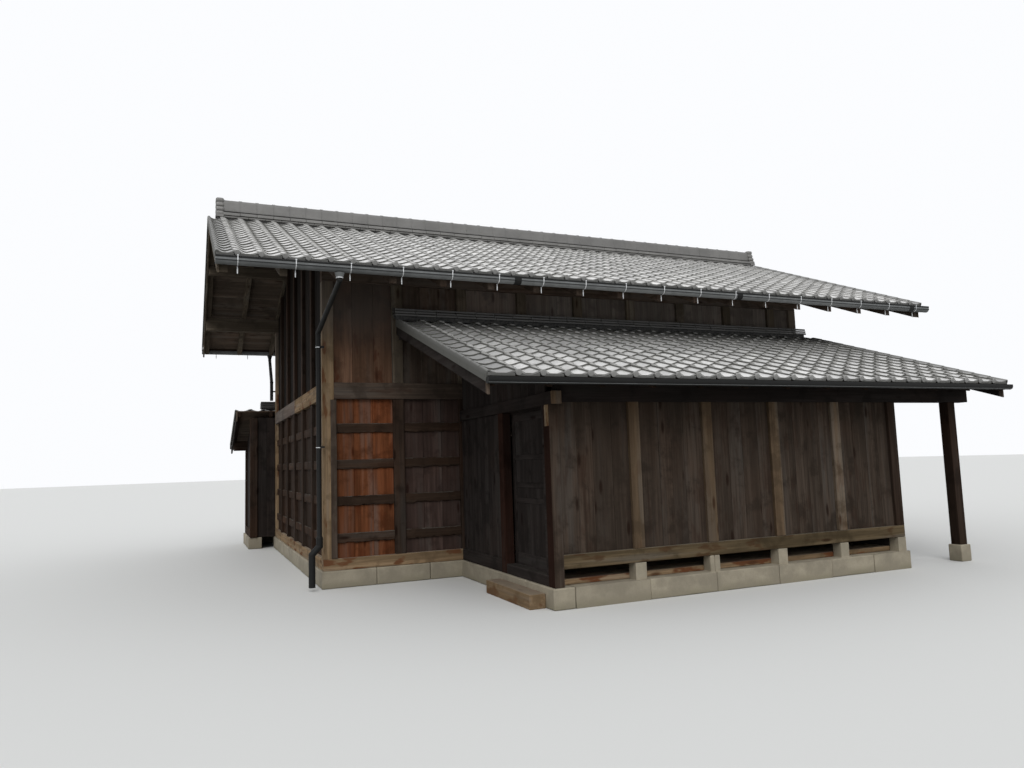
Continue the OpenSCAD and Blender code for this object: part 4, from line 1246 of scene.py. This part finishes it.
class HOUSE_OT_gutters(bpy.types.Operator):
    """Paints the gutters and pipes and adds rims, joint sleeves, bright hangers and the downpipe's bands"""

    bl_idname = "house.gutters"
    bl_label = "Gutters and pipes"

    def execute(self, context):
        paint = painted_sheet("gutter paint", colours().metal)
        drain = painted_sheet("drain paint", colours().drain)
        bright = bright_metal("hanger metal")
        give(NODES["gutter_straps"], [drain])
        sheets, trims, hangers = [Gather(130 + i) for i in range(3)]
        for part in solids("gutters"):
            low, high = extent(part)
            main = high.y - low.y > 0.1
            sheets.add(soften(part), paint if main else drain, 0.5)
            # On the main gutters the rolled rims and folded edges take near-black drain paint as painted
            # shadow lines on the lighter sheet
            trims.add_all(rims(low, high), drain)
            if main:
                trims.add_all(main_trims(low, high), drain)
                hangers.add_all(hangers_of(low, high), bright)
            else:
                trims.add_all([bead(low, high)], paint)
            if main and low.y < 0:
                spot = Vector((home(0.03, 0, 0).x, (low.y + high.y) / 2, low.z))
                outlet = moved(cone(0.042, 0.06, 0.055), spot - along(2, 0.036))
                trims.add_all([soften(outlet)], paint)
                hangers.add_all([band(spot - along(2, 0.075), 0.011, 0.044)], bright)
        sheets.add_all([soften(part) for part in solids("downpipes")], drain)
        for height in (3.14, 1.82):
            hangers.add_all([band(home(*PIPE_AT, height), 0.009, 0.038)], bright)
        trims.add_all(pipe_foot(), drain)
        sheets.keep("gutters_and_pipes", "gutter_metal", ["gutters", "downpipes"])
        trims.keep("gutter_trims", "gutter_metal")
        hangers.keep("gutter_hangers", "gutter_metal")
        return {"FINISHED"}


class HOUSE_OT_door(bpy.types.Operator):
    """Frames the sliding leaf with stiles, rails and boarded panels"""

    bl_idname = "house.door"
    bl_label = "Sliding door"

    def execute(self, context):
        low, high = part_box("door_leaf")
        gather = Gather(120)
        draw = gather.draw
        # The leaf is shade timber: painted shade
        upright = wood("shade", 2)
        level = wood("shade", 1)
        stile = 0.085
        inset = 0.008
        foot = low.z + 0.003
        for y in (low.y, high.y - stile):
            gather.add(bar((low.x, y, foot), (high.x, y + stile, high.z)), upright, 0.2)
        y0 = low.y + stile
        y1 = high.y - stile
        # Foot and height of each rail, from the lowest up
        rails = ((foot, 0.15), (1.07, 0.06), (1.25, 0.06), (1.58, 0.06), (high.z - 0.1, 0.1))
        for z, tall in rails:
            gather.add(bar((low.x, y0, z), (high.x, y1, z + tall)), level, 0.3)
        for (z0, tall), (z1, _) in zip(rails, rails[1:]):
            usual = 0.2 if z1 - z0 > 0.4 else 0.5
            for start, end in in_turn(y0, widths(draw, high.y - low.y - 2 * stile, usual, 0.12)):
                near = (low.x + inset, start + 0.0008, z0 + tall)
                gather.add(bar(near, (high.x - inset, end - 0.0008, z1), 0.002), upright)
        axle = Vector(((low.x + high.x) / 2, 0, low.z + 0.0205))
        half = along(0, 0.006)
        for share in (0.16, 0.84):
            roller = axle + along(1, low.y + share * (high.y - low.y))
            gather.add(rod(roller - half, roller + half, 0.0198, 20), level, 0.9)
        gather.keep("door_leaf_dressed", "dark_wood", ["door_leaf"], DOOR)
        return {"FINISHED"}


class HOUSE_OT_stage(bpy.types.Operator):
    """Sets the pale floor, the plain light and the camera at the photograph's angle"""

    bl_idname = "house.stage"
    bl_label = "Stage"

    def execute(self, context):
        scene = context.scene
        ground = bmesh.new()
        bmesh.ops.create_grid(ground, x_segments=1, y_segments=1, size=120)
        floor = placed("floor", as_mesh(ground, "floor"))
        look = Look("pale floor")
        look.mix(look.in_view(), (0.26, 0.26, 0.25, 1), (0.72, 0.72, 0.7, 1))
        give(floor, [look.finish(0.9)])
        scene.world = bpy.data.worlds.new("soft sky")
        sky = Nodes(scene.world)
        background = sky.tree.nodes["Background"]
        sky.put(background, {"Color": (0.95, 0.97, 1.0, 1), "Strength": SKY_STRENGTH})
        seen = sky.add("Background", {"Color": (0.97, 0.98, 1.0, 1), "Strength": 1.0})
        either = {0: sky.in_view(), 1: Num(sky, background.outputs[0]), 2: seen}
        sky.put(sky.tree.nodes["World Output"], {"Surface": sky.add("MixShader", either)})
        scene.view_settings.view_transform = "Standard"
        camera = placed("camera", bpy.data.cameras.new("camera"))
        camera.data.sensor_width = 36
        camera.data.lens = CAMERA_LENS
        camera.data.clip_end = 500
        facing = Matrix.Translation(home(*CAMERA_AT)) @ turned(-CAMERA_TURN, "Z")
        camera.matrix_world = facing @ turned(90 + CAMERA_TILT, "X") @ turned(CAMERA_ROLL, "Z")
        scene.camera = camera
        sun = placed("soft sun", bpy.data.lights.new("soft sun", "SUN"))
        sun.data.energy = SUN_STRENGTH
        sun.data.angle = math.radians(SUN_SPREAD)
        sun.matrix_world = turned(SUN_TURN, "Z") @ turned(SUN_TILT, "X")
        return {"FINISHED"}


class HOUSE_PT_panel(bpy.types.Panel):
    """Lists the house's operators and sizes"""

    bl_label = "House"
    bl_idname = "HOUSE_PT_panel"
    bl_space_type = "VIEW_3D"
    bl_region_type = "UI"
    bl_category = "House"

    def draw(self, context):
        for group in (context.scene.house_sizes, context.scene.house_colours):
            for name in group.bl_rna.properties.keys():
                if name not in ("rna_type", "name"):
                    self.layout.prop(group, name)
        for name in STEPS:
            self.layout.operator("house." + name)


STEPS = ("boards", "sheathing", "timbers", "stones", "tiles", "ridge", "gutters", "door", "stage")
CLASSES = (
    HouseSizes, HouseColours, HOUSE_OT_boards, HOUSE_OT_sheathing, HOUSE_OT_timbers, HOUSE_OT_stones,
    HOUSE_OT_tiles, HOUSE_OT_ridge, HOUSE_OT_gutters, HOUSE_OT_door, HOUSE_OT_stage, HOUSE_PT_panel,
)


def register():
    for cls in CLASSES:
        bpy.utils.register_class(cls)
    bpy.types.Scene.house_sizes = PointerProperty(type=HouseSizes)
    bpy.types.Scene.house_colours = PointerProperty(type=HouseColours)


def unregister():
    del bpy.types.Scene.house_colours
    del bpy.types.Scene.house_sizes
    for cls in reversed(CLASSES):
        bpy.utils.unregister_class(cls)


def main():
    register()
    for name in STEPS:
        getattr(bpy.ops.house, name)()
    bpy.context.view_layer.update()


if __name__ == "__main__":
    main()
